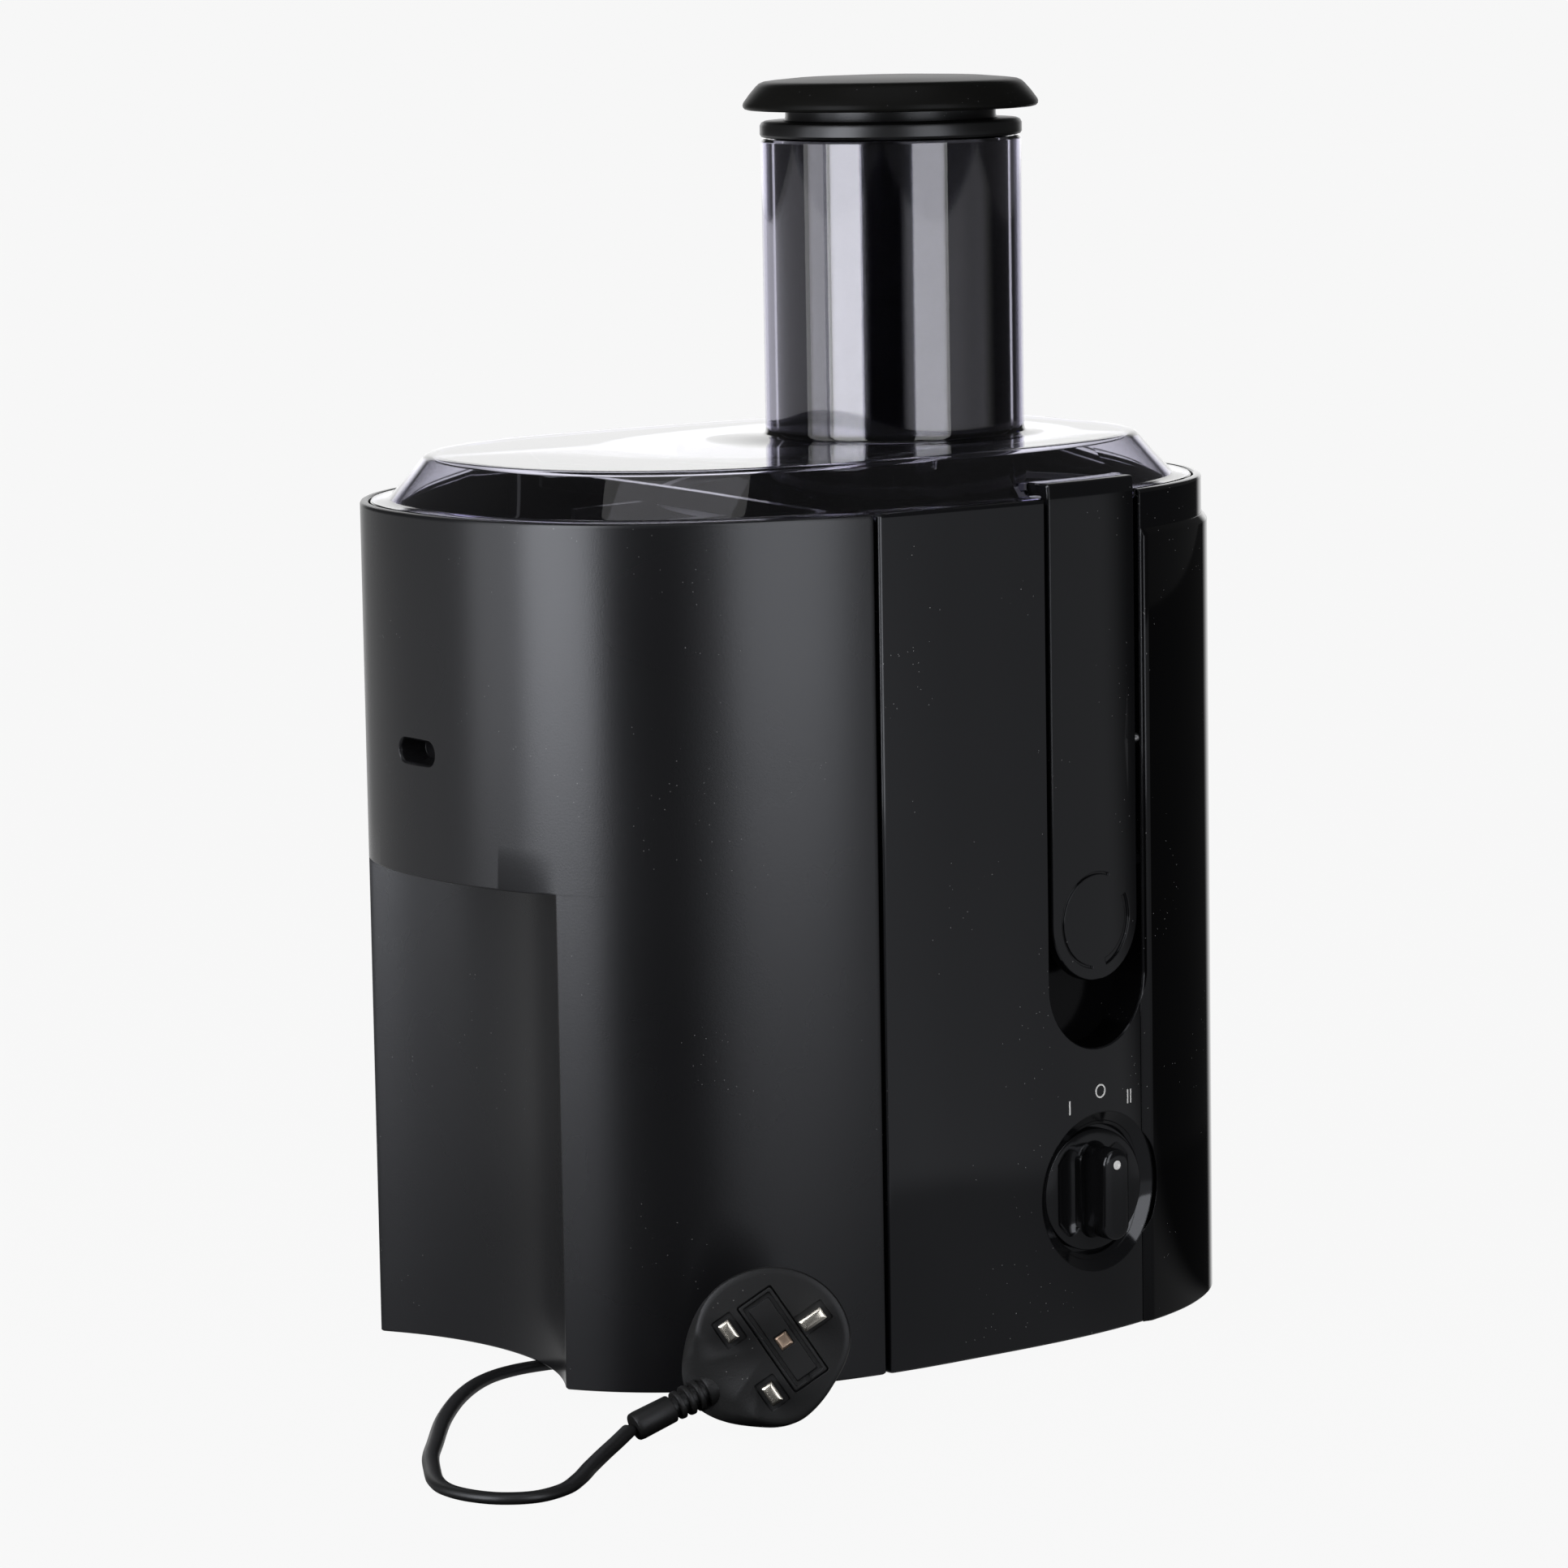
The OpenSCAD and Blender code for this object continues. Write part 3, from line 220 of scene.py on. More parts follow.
def plastic(name, dark, light, smooth, rough, grain_scale=2500, grain_depth=0.0, dust=0.0, specular=0.5,
            coat=0.0, metal=0.0, strength=0.3, edge=0.0):
    """A moulded or metal finish: mottled colour, uneven polish, grain in the bump and a little dust."""
    made, tree, shader, grained = base_material(name, dark, light, smooth, rough, grain_scale, dust)
    bump = add(tree, "Bump", {"Strength": strength, "Distance": grain_depth,
                              "Height": grained.outputs["Height"]})
    if edge:
        soft_edge = add(tree, "Bevel", {"Radius": edge}, samples=4)
        tree.links.new(soft_edge.outputs[0], bump.inputs["Normal"])
    tree.links.new(bump.outputs[0], shader.inputs["Normal"])
    shader.inputs["Specular IOR Level"].default_value = specular
    if not metal:
        shader.inputs["Specular Tint"].default_value = (0.90, 0.925, 1, 1)
    shader.inputs["Metallic"].default_value = metal
    shader.inputs["Coat Weight"].default_value = coat
    return made


def only(piece):
    """The piece selected and active, and nothing else."""
    bpy.ops.object.select_all(action="DESELECT")
    piece.select_set(True)
    bpy.context.view_layer.objects.active = piece


def settle(piece, body, material, angle=35, replaces=()):
    """Smooth shading, the finish, the body it moves with and the CAD nodes it stands for."""
    only(piece)
    bpy.ops.object.shade_smooth_by_angle(angle=radians(angle))
    piece.data.materials.clear()
    piece.data.materials.append(material)
    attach(piece, body)
    if replaces:
        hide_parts(*replaces)


cord_pvc = plastic("cord_pvc", 0.006, 0.010, 0.34, 0.5, 1800, 0.00004, 0.3)
settle(cord, "root", cord_pvc, 60, ("cord_coil", "cord_feed", "cord_lead"))

# ---- Plug ----
# A moulded 13 A plug lying on its side with the pins up and outwards: a lobed body with a sloped
# shoulder, a fuse carrier pressed in between the pins, and a grooved strain relief moulded on.
plug_place = Matrix.Translation((-0.103, -0.1275, 0.02727538)) @ Matrix.Rotation(radians(-36), 4, "Z") \
    @ Matrix.Rotation(radians(78), 4, "X") @ Matrix.Rotation(radians(214), 4, "Z")


def in_plug(points):
    """Points given on the plug's pin face, moved to where the plug lies."""
    turn = np.array(plug_place)
    return np.asarray(points, float) @ turn[:3, :3].T + turn[:3, 3]


def rounded(corner_r, width, length, count=8):
    """A rectangle with round corners, as x and y round its middle."""
    a = np.linspace(0, pi / 2, count)
    out = []
    for k, (sx, sy) in enumerate(((1, 1), (-1, 1), (-1, -1), (1, -1))):
        t = a + k * pi / 2
        out.append(np.stack([sx * (width / 2 - corner_r) + corner_r * np.cos(t),
                             sy * (length / 2 - corner_r) + corner_r * np.sin(t)], 1))
    return np.vstack(out)


# radius of the pin face every 15 degrees from the cord's side
lobes = np.array([23.6, 22.6, 22.0, 22.2, 23.4, 23.6, 22.4, 21.6, 21.5, 22.6, 23.8, 24.2, 24.3,
                  24.2, 24.0, 23.8, 23.7, 23.6, 23.8, 24.0, 23.8, 23.2, 22.8, 23.4]) / 1000
steps = np.linspace(0, 2 * pi, 144, endpoint=False)
edge = np.interp(steps, np.linspace(0, 2 * pi, 25), np.r_[lobes, lobes[0]])
edge = np.convolve(np.r_[edge[-5:], edge, edge[:5]], np.ones(7) / 7, "same")[5:-5]
lobe_line = np.stack([edge * np.cos(steps), edge * np.sin(steps)], 1)
# the shoulder slopes down beyond a chord on the cord's side
chord_x = 0.0152
plug_rows = []
# towards the cord the body runs out into a short snout below the pin face
snout = np.clip(np.cos(steps), 0, None) ** 3 * np.where(np.abs(np.sin(steps)) < 0.95, 1, 0)
for grow, depth, fall in (
        (0.30, 0, 0), (0.72, 0, 0), (0.9, 0, 0), (0.955, -0.0001, 0), (0.985, -0.0005, 0), (1.0, -0.0016, 0.1),
        (1.0, -0.004, 0.6), (1.0, -0.0068, 1), (0.985, -0.0098, 1), (0.94, -0.0130, 0.9),
        (0.86, -0.0152, 0.5), (0.7, -0.0166, 0.1), (0.35, -0.01695, 0)):
    ring = lobe_line * grow * (1 + 0.22 * fall * snout)[:, None]
    past = np.clip(ring[:, 0] - chord_x, 0, None)
    z = np.full(len(ring), depth)
    if depth > -0.006:
        z = np.minimum(z, -0.62 * past)
    plug_rows.append(in_plug(np.c_[ring, z]))
plug = solid("plug_body_moulding", plug_rows)


def cut(piece, tool, how="DIFFERENCE"):
    """One boolean step, applied."""
    step = piece.modifiers.new("cut", "BOOLEAN")
    step.operation, step.solver, step.object = how, "EXACT", tool
    only(piece)
    bpy.ops.object.modifier_apply(modifier=step.name)
    bpy.data.objects.remove(tool)


def join(pieces):
    """Several meshes made one piece."""
    only(pieces[0])
    for p in pieces:
        p.select_set(True)
    bpy.ops.object.join()
    return pieces[0]


def block(name, outline, levels_mm, middle=(0, 0)):
    """A boss, pin or recess on the plug: one outline at several levels of (inset, height)."""
    half = np.abs(outline).max(0)
    return solid(name, [in_plug(np.c_[outline * (1 - inset / 1000 / half) + middle,
                                      np.full(len(outline), z / 1000)]) for inset, z in levels_mm])


carrier_x, carrier_w, carrier_l, carrier_gap = -0.0042, 0.0124, 0.0306, 0.0009
fuse_mid = (carrier_x, 0.0006)
cut(plug, block("carrier_well", rounded(0.0008, carrier_w, carrier_l), ((-0.4, 1.5), (0, -0.2), (0, -1.6)),
                (carrier_x, 0)))
line_x, earth_x, pin_pitch = 0.0074, -0.01483, 0.02223
for x, y, w, h in ((line_x, -pin_pitch / 2, 0.0068, 0.0092), (line_x, pin_pitch / 2, 0.0068, 0.0092),
                   (earth_x, 0, 0.0106, 0.0066)):
    cut(plug, block("pin_well", rounded(0.0006, w, h), ((-0.3, 1.2), (0, -0.1), (0, -0.6)), (x, y)))
carrier = block("fuse_carrier_moulding", rounded(0.0006, carrier_w - carrier_gap, carrier_l - carrier_gap),
                ((0, -1.9), (0, -0.1), (0.2, 0.1), (0.9, 0.1), (1.1, -0.8), (2.1, -0.8), (2.3, -0.1),
                 (4, -0.1)), (carrier_x, 0))
cut(carrier, block("fuse_window", rounded(0.0004, 0.0048, 0.005), ((0, 1), (0, -0.9)), fuse_mid))
cut(carrier, block("prise_slot", rounded(0.0003, 0.0016, 0.004), ((0, 1), (0, -1)),
                   (carrier_x + 0.0004, carrier_l / 2 - 0.0006)))
fuse = block("fuse_end_cap", rounded(0.0005, 0.0042, 0.0044),
             ((0, -1.6), (0, -0.8), (0.6, -0.4), (1.2, -0.55)), fuse_mid)


def pin(name, x, y, w, h, tip_mm):
    """A flat pin that starts inside the body and has a rounded tip."""
    return block(name, rounded(0.0004, w, h), ((0, -8.8), (0, tip_mm - 0.9), (0.2, tip_mm - 0.4),
                 (0.6, tip_mm - 0.1), (0.8, tip_mm)), (x, y))


live = join([pin(name, line_x, y, 0.0038, 0.0063, 17.7)
             for name, y in (("line_pins", -pin_pitch / 2), ("line_pin", pin_pitch / 2))])
sleeves = join([block(name, rounded(0.0005, 0.00395, 0.00645), ((0, -1.5), (0, 8.6), (0.2, 8.9)), (line_x, y))
                for name, y in (("pin_sleeves", -pin_pitch / 2), ("pin_sleeve", pin_pitch / 2))])
earth = pin("earth_pin", earth_x, 0, 0.0079, 0.0038, 22.7)

relief_from, relief_to = in_plug([[0.0200, 0, -0.0085]])[0], route[-1]
relief_line = relief_to - relief_from
relief_l = float(np.linalg.norm(relief_line))
relief_dir = relief_line / relief_l
relief_side = np.cross((0, 0, 1), relief_dir)
relief_side /= np.linalg.norm(relief_side)
relief_top = np.cross(relief_dir, relief_side)
tail = relief_l * 1000
profile_mm = [(0, 5.9), (3, 5.6)]             # (distance, radius), with a groove at each step
for k in range(4):
    z, r = 4.2 + 3.2 * k, 5.4 - 0.25 * (k + 0.5)
    profile_mm += [(z + dz, r + dr) for dz, dr in ((0, 0), (0.2, -0.1), (0.3, -1.5), (1.9, -1.55),
                                                   (2.0, -0.25), (2.2, -0.15))]
profile_mm = [(z, r) for z, r in profile_mm if z < tail - 3.0]
profile_mm += [(tail - 3.2, 4.55), (tail - 2.0, 4.4), (tail - 1.7, 4.2), (tail - 1.6, 3.4)]
turns = np.linspace(0, 2 * pi, 32, endpoint=False)
relief = solid("plug_strain_relief", [
    relief_from + relief_dir * z / 1000 + np.outer(np.cos(turns) * r / 1000, relief_side)
    + np.outer(np.sin(turns) * r / 1000 * 0.96, relief_top) for z, r in profile_mm])

plug_pvc = plastic("plug_pvc", 0.006, 0.010, 0.40, 0.52, 1500, 0.00012, 0.35, specular=0.3, edge=0.0004)
plated = plastic("plated_brass", (0.72, 0.68, 0.6), (0.86, 0.83, 0.77), 0.16, 0.34, 3000, 0.00002, metal=1.0)
fuse_copper = plastic("fuse_copper", (0.16, 0.10, 0.07), (0.62, 0.48, 0.38), 0.3, 0.5, 900, 0.0001, metal=1.0)
for piece, finish, angle, replaces, slot in (
        (plug, plug_pvc, 40, ("plug_body",), "inner_black"),
        (carrier, plug_pvc, 30, ("fuse_carrier",), "inner_black"),
        (sleeves, plug_pvc, 30, (), "inner_black"), (fuse, fuse_copper, 30, (), "brass"),
        (live, plated, 30, ("plug_pins",), "brass"), (earth, plated, 30, ("plug_earth_pin",), "brass"),
        (relief, plug_pvc, 40, ("plug_relief",), "soft_black")):
    settle(piece, "root", finish, angle, replaces)

# ---- Pulp container ----
# The matte half of the oval body: a deep ABS bin with a hand scoop low in its end, a small slot to
# hook it out by, and a flat face that closes against the motor unit. It slides off to the left.
body_b = 0.1005
front_c, front_a, front_n = 0.004, 0.133, 2.56
rear_c, rear_a, rear_n = -0.010, 0.127, 2.37
rim_z, skirt_z, wall = 0.268, 0.004, 0.0026


def plan(inset=0.0, reach=7200):
    """The oval outline of the body, moved in by inset, as closely spaced points from the near side."""
    t = np.radians(np.linspace(-90, 270, reach, endpoint=False))
    front = np.cos(t) >= 0
    c, a, n = (np.where(front, f, r) for f, r in ((front_c, rear_c), (front_a, rear_a), (front_n, rear_n)))
    signed = lambda v, e: np.sign(v) * np.abs(v) ** e
    p = np.stack([c + a * signed(np.cos(t), 2 / n), body_b * signed(np.sin(t), 2 / n)], 1)
    g = np.stack([signed((p[:, 0] - c) / a, n - 1) / a, signed(p[:, 1] / body_b, n - 1) / body_b], 1)
    return p - inset * g / np.linalg.norm(g, axis=1)[:, None]


def spaced(p, count, whole=False):
    """count points evenly spaced along a line of points."""
    if whole:
        p = np.vstack([p, p[:1]])
    run = np.r_[0, np.cumsum(np.linalg.norm(np.diff(p, axis=0), axis=1))]
    at = np.linspace(0, run[-1], count, endpoint=not whole)
    return np.stack([np.interp(at, run, p[:, 0]), np.interp(at, run, p[:, 1])], 1)


def half_plan(cut_x, side, inset, corner):
    """Outline of one half of the body: its share of the oval, and the flat face with round corners.
    side is 1 for the half beyond cut_x and -1 for the other."""
    p = plan(inset)
    if side < 0:
        p = np.roll(p, -len(p) // 4, axis=0)          # start on the far side, so that the arc is whole
        p = p[p[:, 0] < cut_x]
    else:
        p = np.roll(p, len(p) // 4, axis=0)
        p = p[p[:, 0] > cut_x]
    p = p[np.argsort(np.unwrap(np.arctan2(p[:, 1], (p[:, 0] - cut_x) * side)) * side)]
    arc = spaced(p, 440)
    run = np.r_[0, np.cumsum(np.linalg.norm(np.diff(arc, axis=0), axis=1))]
    keep = (run > corner) & (run < run[-1] - corner)
    first = np.array([np.interp(corner, run, arc[:, k]) for k in (0, 1)])
    last = np.array([np.interp(run[-1] - corner, run, arc[:, k]) for k in (0, 1)])
    arc = spaced(np.vstack([first, arc[keep], last]), 440)
    t = np.linspace(0, 1, 7)[:, None]

    def bend(a, tip, b):
        return (1 - t) ** 2 * a + 2 * t * (1 - t) * tip + t * t * b

    tip_end, tip_start = np.array([cut_x, p[-1, 1]]), np.array([cut_x, p[0, 1]])
    way = np.sign(tip_start[1] - tip_end[1])
    end_turn = bend(last, tip_end, tip_end + (0, way * corner))[1:]
    start_turn = bend(tip_start - (0, way * corner), tip_start, first)[:-1]
    flat = np.linspace(end_turn[-1], start_turn[0], 50)[1:-1]
    return np.vstack([arc, end_turn, flat, start_turn])


def level(outline, z):
    return np.c_[outline, np.full(len(outline), z)]


rear_face = -0.03865
scoop_top, scoop_w, scoop_depth = 0.156, 0.104, 0.0155
scoop_r = (scoop_w**2 / 4 + scoop_depth**2) / (2 * scoop_depth)
scoop_line = -(-rear_c + rear_a * (1 - (scoop_w / 2 / body_b) ** rear_n) ** (1 / rear_n)) + scoop_depth
scoop_mid = scoop_line - scoop_r


def scooped(outline, inset, share):
    """The outline with the hand scoop pressed in by share of its depth, and its horns rounded."""
    horn = 0.0009
    out = outline.copy()
    y = np.clip(out[:, 1], -scoop_r * 0.98, scoop_r * 0.98)
    hollow = scoop_mid + np.sqrt((scoop_r + inset) ** 2 - y**2)
    at = out[:, 0] < -0.07
    gap = hollow - out[:, 0]
    soft = 0.5 * (gap + np.sqrt(gap**2 + horn**2)) - 0.5 * horn * np.exp(-np.clip(-gap, 0, None) / horn)
    out[at, 0] += (np.clip(soft, 0, None) * share)[at]
    return out


def bin_row(z, inset, share=0.0):
    """One level of the bin, with its share of the hand scoop."""
    shape = half_plan(rear_face - inset, -1, inset, 0.0012 if inset < 0.001 else 0.0006)
    return level(scooped(shape, inset, share) if share else shape, z)


floor_z = 0.016
container = solid("pulp_bin", [bin_row(*row) for row in (
    (floor_z, wall, 1), (skirt_z + 0.0006, wall, 1), (skirt_z, wall - 0.0005, 1), (skirt_z, 0.0005, 1),
    *((z, 0, 1) for z in (skirt_z + 0.0005, 0.03, 0.06, 0.09, 0.12, 0.14, 0.150, 0.1535, scoop_top - 0.0009)),
    (scoop_top - 0.0003, 0, 0.97), (scoop_top, 0, 0.9), (scoop_top, 0, 0.5), (scoop_top, 0, 0.05),
    (scoop_top + 0.0002, 0, 0.015), (scoop_top + 0.0006, 0),
    *((z, 0) for z in (0.17, 0.2, 0.23, 0.255, rim_z - 0.0013, rim_z - 0.0009)),
    (rim_z - 0.0003, 0.0003), (rim_z, 0.0009), (rim_z, wall - 0.0006), (rim_z - 0.0005, wall),
    (scoop_top + wall + 0.003, wall), (scoop_top + wall, wall, 1), (floor_z + wall, wall, 1))])


def prism(name, x0, x1, y0, y1, z0, z1):
    """A plain cutting block."""
    corners = np.array([(x0, y0), (x1, y0), (x1, y1), (x0, y1)])
    return solid(name, [level(corners, z0), level(corners, z1)])


weir_z, weir_half = 0.238, 0.0965
cut(container, prism("pulp_gate", rear_face - 0.004, rear_face + 0.002, -weir_half, weir_half, weir_z,
                     rim_z + 0.01))
slot_y, slot_z, slot_w, slot_h = 0.005, 0.195, 0.020, 0.007


def stadium(grow, x):
    """The slot's outline, a rectangle with round ends, standing across the body's end."""
    a = np.linspace(-pi / 2, pi / 2, 17)
    r = slot_h / 2 + grow
    one = np.stack([(slot_w - slot_h) / 2 + r * np.cos(a), r * np.sin(a)], 1)
    yz = np.vstack([one, -one])
    reach = rear_c - rear_a * (1 - np.abs((slot_y + yz[:, 0]) / body_b) ** rear_n) ** (1 / rear_n)
    return np.c_[reach + x, slot_y + yz[:, 0], slot_z + yz[:, 1]]

cut(container, solid("slot_liner", [stadium(0.0018, 0.0015), stadium(0.0018, 0.0115)]), "UNION")
cut(container, solid("slot_tool", [stadium(grow, x) for grow, x in (
    (0.0014, -0.0015), (0.0007, -0.0001), (0.0001, 0.0006), (0, 0.001), (0, 0.0095))]))
matte_black = plastic("matte_grained_abs", (0.0045, 0.0045, 0.005), (0.006, 0.006, 0.0068), 0.25, 0.30, 1500,
                      0.00005, 0.25, edge=0.0004)
settle(container, "container", matte_black, 32, ("pulp_container",))

# ---- Motor housing ----
# The gloss black half of the body, one deep ABS moulding with a bulkhead towards the container. Each
# long side has a pocket for a latch, the near side a dished recess for the knob.
motor_face = -0.03735
side_x = 0.047
latch_half, latch_gap, latch_low, pocket_low = 0.0192, 0.0019, 0.116, 0.095
pocket_half = latch_half + latch_gap


def side_y(x):
    """Half width of the body at x, on the motor unit's part of the oval."""
    return body_b * (1 - (np.abs(np.asarray(x, float) - front_c) / front_a) ** front_n) ** (1 / front_n)


def on_side(x, z, depth, side=-1):
    """Points on the long side's surface, sunk by depth."""
    x = np.asarray(x, float)
    return np.stack([x, side * (side_y(np.clip(x, -0.03, 0.13)) - depth), np.broadcast_to(z, x.shape)], 1)


def shell_row(z, inset):
    """One level of the housing's skin."""
    return level(half_plan(motor_face + inset, 1, inset, 0.0009 if inset < 0.001 else 0.0006), z)


ledge_z = 0.2647
shell_rows = [shell_row(z, inset) for z, inset in (
    (skirt_z + 0.0006, wall), (skirt_z, wall - 0.0005), (skirt_z, 0.0005),
    *((z, 0) for z in (skirt_z + 0.0005, 0.05, 0.1, 0.15, 0.2, 0.24, rim_z - 0.0013, rim_z - 0.0009)),
    (rim_z - 0.0003, 0.0003), (rim_z, 0.0009), (rim_z, wall - 0.0005), (rim_z - 0.0004, wall),
    (ledge_z, wall), (ledge_z, wall + 0.004), (ledge_z - 0.004, wall + 0.004), (ledge_z - 0.006, wall))]
housing = skin("motor_shell", [*shell_rows, shell_rows[0]])


def strip_line(half, low, high, count=28):
    """The latch pocket's outline on the side: straight up, round at its lower end."""
    a = np.linspace(pi, 2 * pi, count)
    up = np.linspace(low + half, high, 14)[1:-1]
    x = np.r_[half * np.cos(a), np.full(12, half), np.linspace(half, -half, 24), np.full(12, -half)]
    z = np.r_[low + half + half * np.sin(a), up, np.full(24, high), up[::-1]]
    return side_x + x, z


def pocket_form(name, side, steps):
    """A latch pocket's outline, grown and sunk by steps, closed at both ends."""
    rows = []
    for grow, depth in steps:
        x, z = strip_line(pocket_half + grow, pocket_low - grow, rim_z + 0.008)
        rows.append(on_side(x, z, depth, side))
    return solid(name, rows)


def pocket(side, name):
    """The pocket's hollow, with a small chamfer where it meets the surface."""
    return pocket_form(name, side, ((0.0021, -0.006), (0.0006, -0.0004), (0.0004, 0.0), (0, 0.0005),
                                    (0, 0.013)))


def pocket_cup(side, name):
    """The moulded walls round a latch pocket, behind the housing's skin and open at the rim."""
    cup = pocket_form(name, side, ((0.002, 0.015), (0.002, 0.0012), (-0.00003, 0.0006), (-0.00003, 0.013)))
    cut(cup, prism("cup_top", side_x - 0.04, side_x + 0.04, -0.12, 0.12, ledge_z, rim_z + 0.02))
    return cup


knob_z, knob_r, recess_r = 0.0493, 0.0193, 0.0253
disc_front = float(side_y(side_x)) - 0.0039      # the plane of the knob's disc
recess_floor = float(side_y(side_x)) - 0.0065
ring_a = np.linspace(0, 2 * pi, 128, endpoint=False)


def disc_row(r, y=None, depth=None):
    """A ring round the knob's axis, in a plane across it or on the side's surface."""
    x, z = side_x + r * np.cos(ring_a), knob_z + r * np.sin(ring_a)
    if depth is None:
        return np.stack([x, np.full(len(x), -y), z], 1)
    return on_side(x, z, depth)


well_r = knob_r + 0.0013
bevel_foot = disc_row(well_r, depth=0.0037)          # the bevel's foot follows the side, above the floor
bevel_foot[:, 1] = np.minimum(bevel_foot[:, 1], -recess_floor - 0.0002)
recess_rows = [disc_row(recess_r - 0.0002, depth=0.0002), bevel_foot, disc_row(well_r, y=recess_floor)]


def recess_tool(name):
    """The knob recess's hollow."""
    rows = [disc_row(recess_r + 0.0012, depth=-0.006), disc_row(recess_r + 0.0004, depth=-0.0022),
            disc_row(recess_r + 0.0002, depth=-0.0002), *recess_rows]
    return solid(name, rows)


for made in (pocket(-1, "near_pocket"), pocket(1, "far_pocket"), recess_tool("knob_recess")):
    cut(housing, made)
dish_gap = 0.00003
inner_dish = [recess_rows[0] - (0, dish_gap, 0), bevel_foot - (0, dish_gap, 0),
              disc_row(well_r - 0.00004, y=recess_floor + dish_gap)]
dish = solid("knob_dish", [disc_row(recess_r + 0.002, y=recess_floor - 0.0022),
                           disc_row(recess_r + 0.002, depth=0.0012), *inner_dish])
cut(housing, prism("gate_cut", motor_face - 0.002, motor_face + 0.0035, -weir_half, weir_half, weir_z,
                   rim_z + 0.01))
spout_z, spout_r = 0.174, 0.008


def spout_tool(name, r):
    """A round cutter on the spout's axis."""
    a = np.linspace(0, 2 * pi, 48, endpoint=False)
    return solid(name, [np.stack([np.full(48, x), r * np.cos(a), spout_z + r * np.sin(a)], 1)
                        for x in (0.12, 0.16)])


cut(housing, spout_tool("spout_hole", spout_r + 0.0015))
# the air outlet: a row of upright slots low in the far side
slot_pitch, slot_wide = 0.009, 0.004
for k in range(7):
    cut(housing, prism("air_slot", k * slot_pitch, k * slot_pitch + slot_wide, body_b - 0.012, body_b + 0.005,
                       0.024, 0.060))
housing = join([housing, dish])
cups = join([pocket_cup(-1, "latch_pocket_cups"), pocket_cup(1, "far_cup")])
deck = solid("bowl_deck", [level(spaced(plan(0.0032), 300, True), z) for z in (0.150, 0.153)])
cut(deck, prism("deck_trim", -0.2, motor_face + 0.0031, -0.2, 0.2, 0.1, 0.2))
cut(deck, solid("bearing_hole", [np.c_[drive_x + 0.015 * np.cos(turns), 0.015 * np.sin(turns), np.full(32, z)]
                                 for z in (0.14, 0.16)]))

gloss_black = plastic("gloss_black_abs", (0.0035, 0.0036, 0.0042), (0.0045, 0.0046, 0.0053), 0.045, 0.11, 300,
                      0.000004, 0.5, strength=0.15, edge=0.0004)
# the latch pocket walls get a darker, duller black than the housing: painted shade inside the pockets
pocket_shade_black = plastic("pocket_shade_black", (0.0015, 0.0015, 0.0017), (0.0025, 0.0025, 0.0028), 0.12, 0.2, 900,
                       0.00001, 0.2, specular=0.14, strength=0.2)
settle(housing, "root", gloss_black, 28, ("motor_housing",))
settle(cups, "root", pocket_shade_black, 30, ())
settle(deck, "root", matte_black, 30, ())

# ---- Front panel ----
# A thin polished cover that wraps the spout end from one latch to the other, clipped on over the
# housing. It stops short of the rim with a chamfer, and shares the knob's recess.
panel_x, panel_t, panel_top, feather = 0.0666, 0.0018, 0.255, 0.0035


def panel_row(z, out, inner=0.00005):
    """Cross-section of the cover: out along its outer face and back along its inner one."""
    base, q = plan(0), plan(inner)
    # the cover thins out towards its two upright edges
    rise = np.clip((base[:, :1] - panel_x) / feather, 0, 1)
    p = base + (plan(-out) - base) * (0.1 + 0.9 * rise * rise * (3 - 2 * rise))
    p, q = (np.roll(line, len(line) // 2, axis=0) for line in (p, q))
    outer = spaced(p[p[:, 0] > panel_x], 420)
    inside = spaced(q[q[:, 0] > panel_x], 420)[::-1]
    edges = [0.75 * outer[k] + 0.25 * inside[-1 - k] for k in (-1, 0)]
    for edge_point in edges:
        edge_point[0] = panel_x
    return level(np.vstack([outer, edges[0][None], inside, edges[1][None]]), z)


# its ends are closed on the middle line
panel = skin("front_cover", [panel_row(*row) for row in (
    (skirt_z, 0, 0), (skirt_z, panel_t - 0.0005), (skirt_z + 0.0005, panel_t),
    *((z, panel_t) for z in (0.05, 0.1, 0.15, 0.2, panel_top - 0.0016)),
    (panel_top - 0.0012, panel_t - 0.0001), (panel_top + 0.0006, 0.0004), (panel_top + 0.0006, 0, 0))])
for made in (pocket(-1, "near_cut"), pocket(1, "far_cut"), recess_tool("panel_recess"),
             spout_tool("panel_spout", spout_r + 0.0019)):
    cut(panel, made)
panel_black = plastic("polished_cover", (0.0016, 0.0016, 0.0018), (0.0024, 0.0024, 0.0027), 0.035, 0.08, 300,
                      0.000003, 0.5, specular=0.3, strength=0.12, edge=0.0004)
settle(panel, "root", panel_black, 28, ("front_panel",))

# ---- Knob ----
# A turned-and-moulded speed knob: a thin disc with a tall rounded grip bar, hollowed on both sides
# of the bar for the fingers, a white dot near its top, on a steel spindle into the switch.
grip_w, grip_l, grip_h = 0.010, 0.029, 0.012

def bar_row(grow, y, dx=0.0):
    """The grip bar's outline, a rectangle with round ends, in a plane across the knob's axis."""
    a = np.linspace(0, pi, 25)
    r = grip_w / 2 + grow
    reach = (grip_l - grip_w) / 2
    one = np.stack([r * np.cos(a), reach + r * np.sin(a)], 1)
    flat = np.linspace([-r, reach], [-r, -reach], 8)[1:-1]
    xz = np.vstack([one, flat, -one, -flat])
    return np.stack([side_x + dx + xz[:, 0], np.full(len(xz), -y), knob_z + xz[:, 1]], 1)


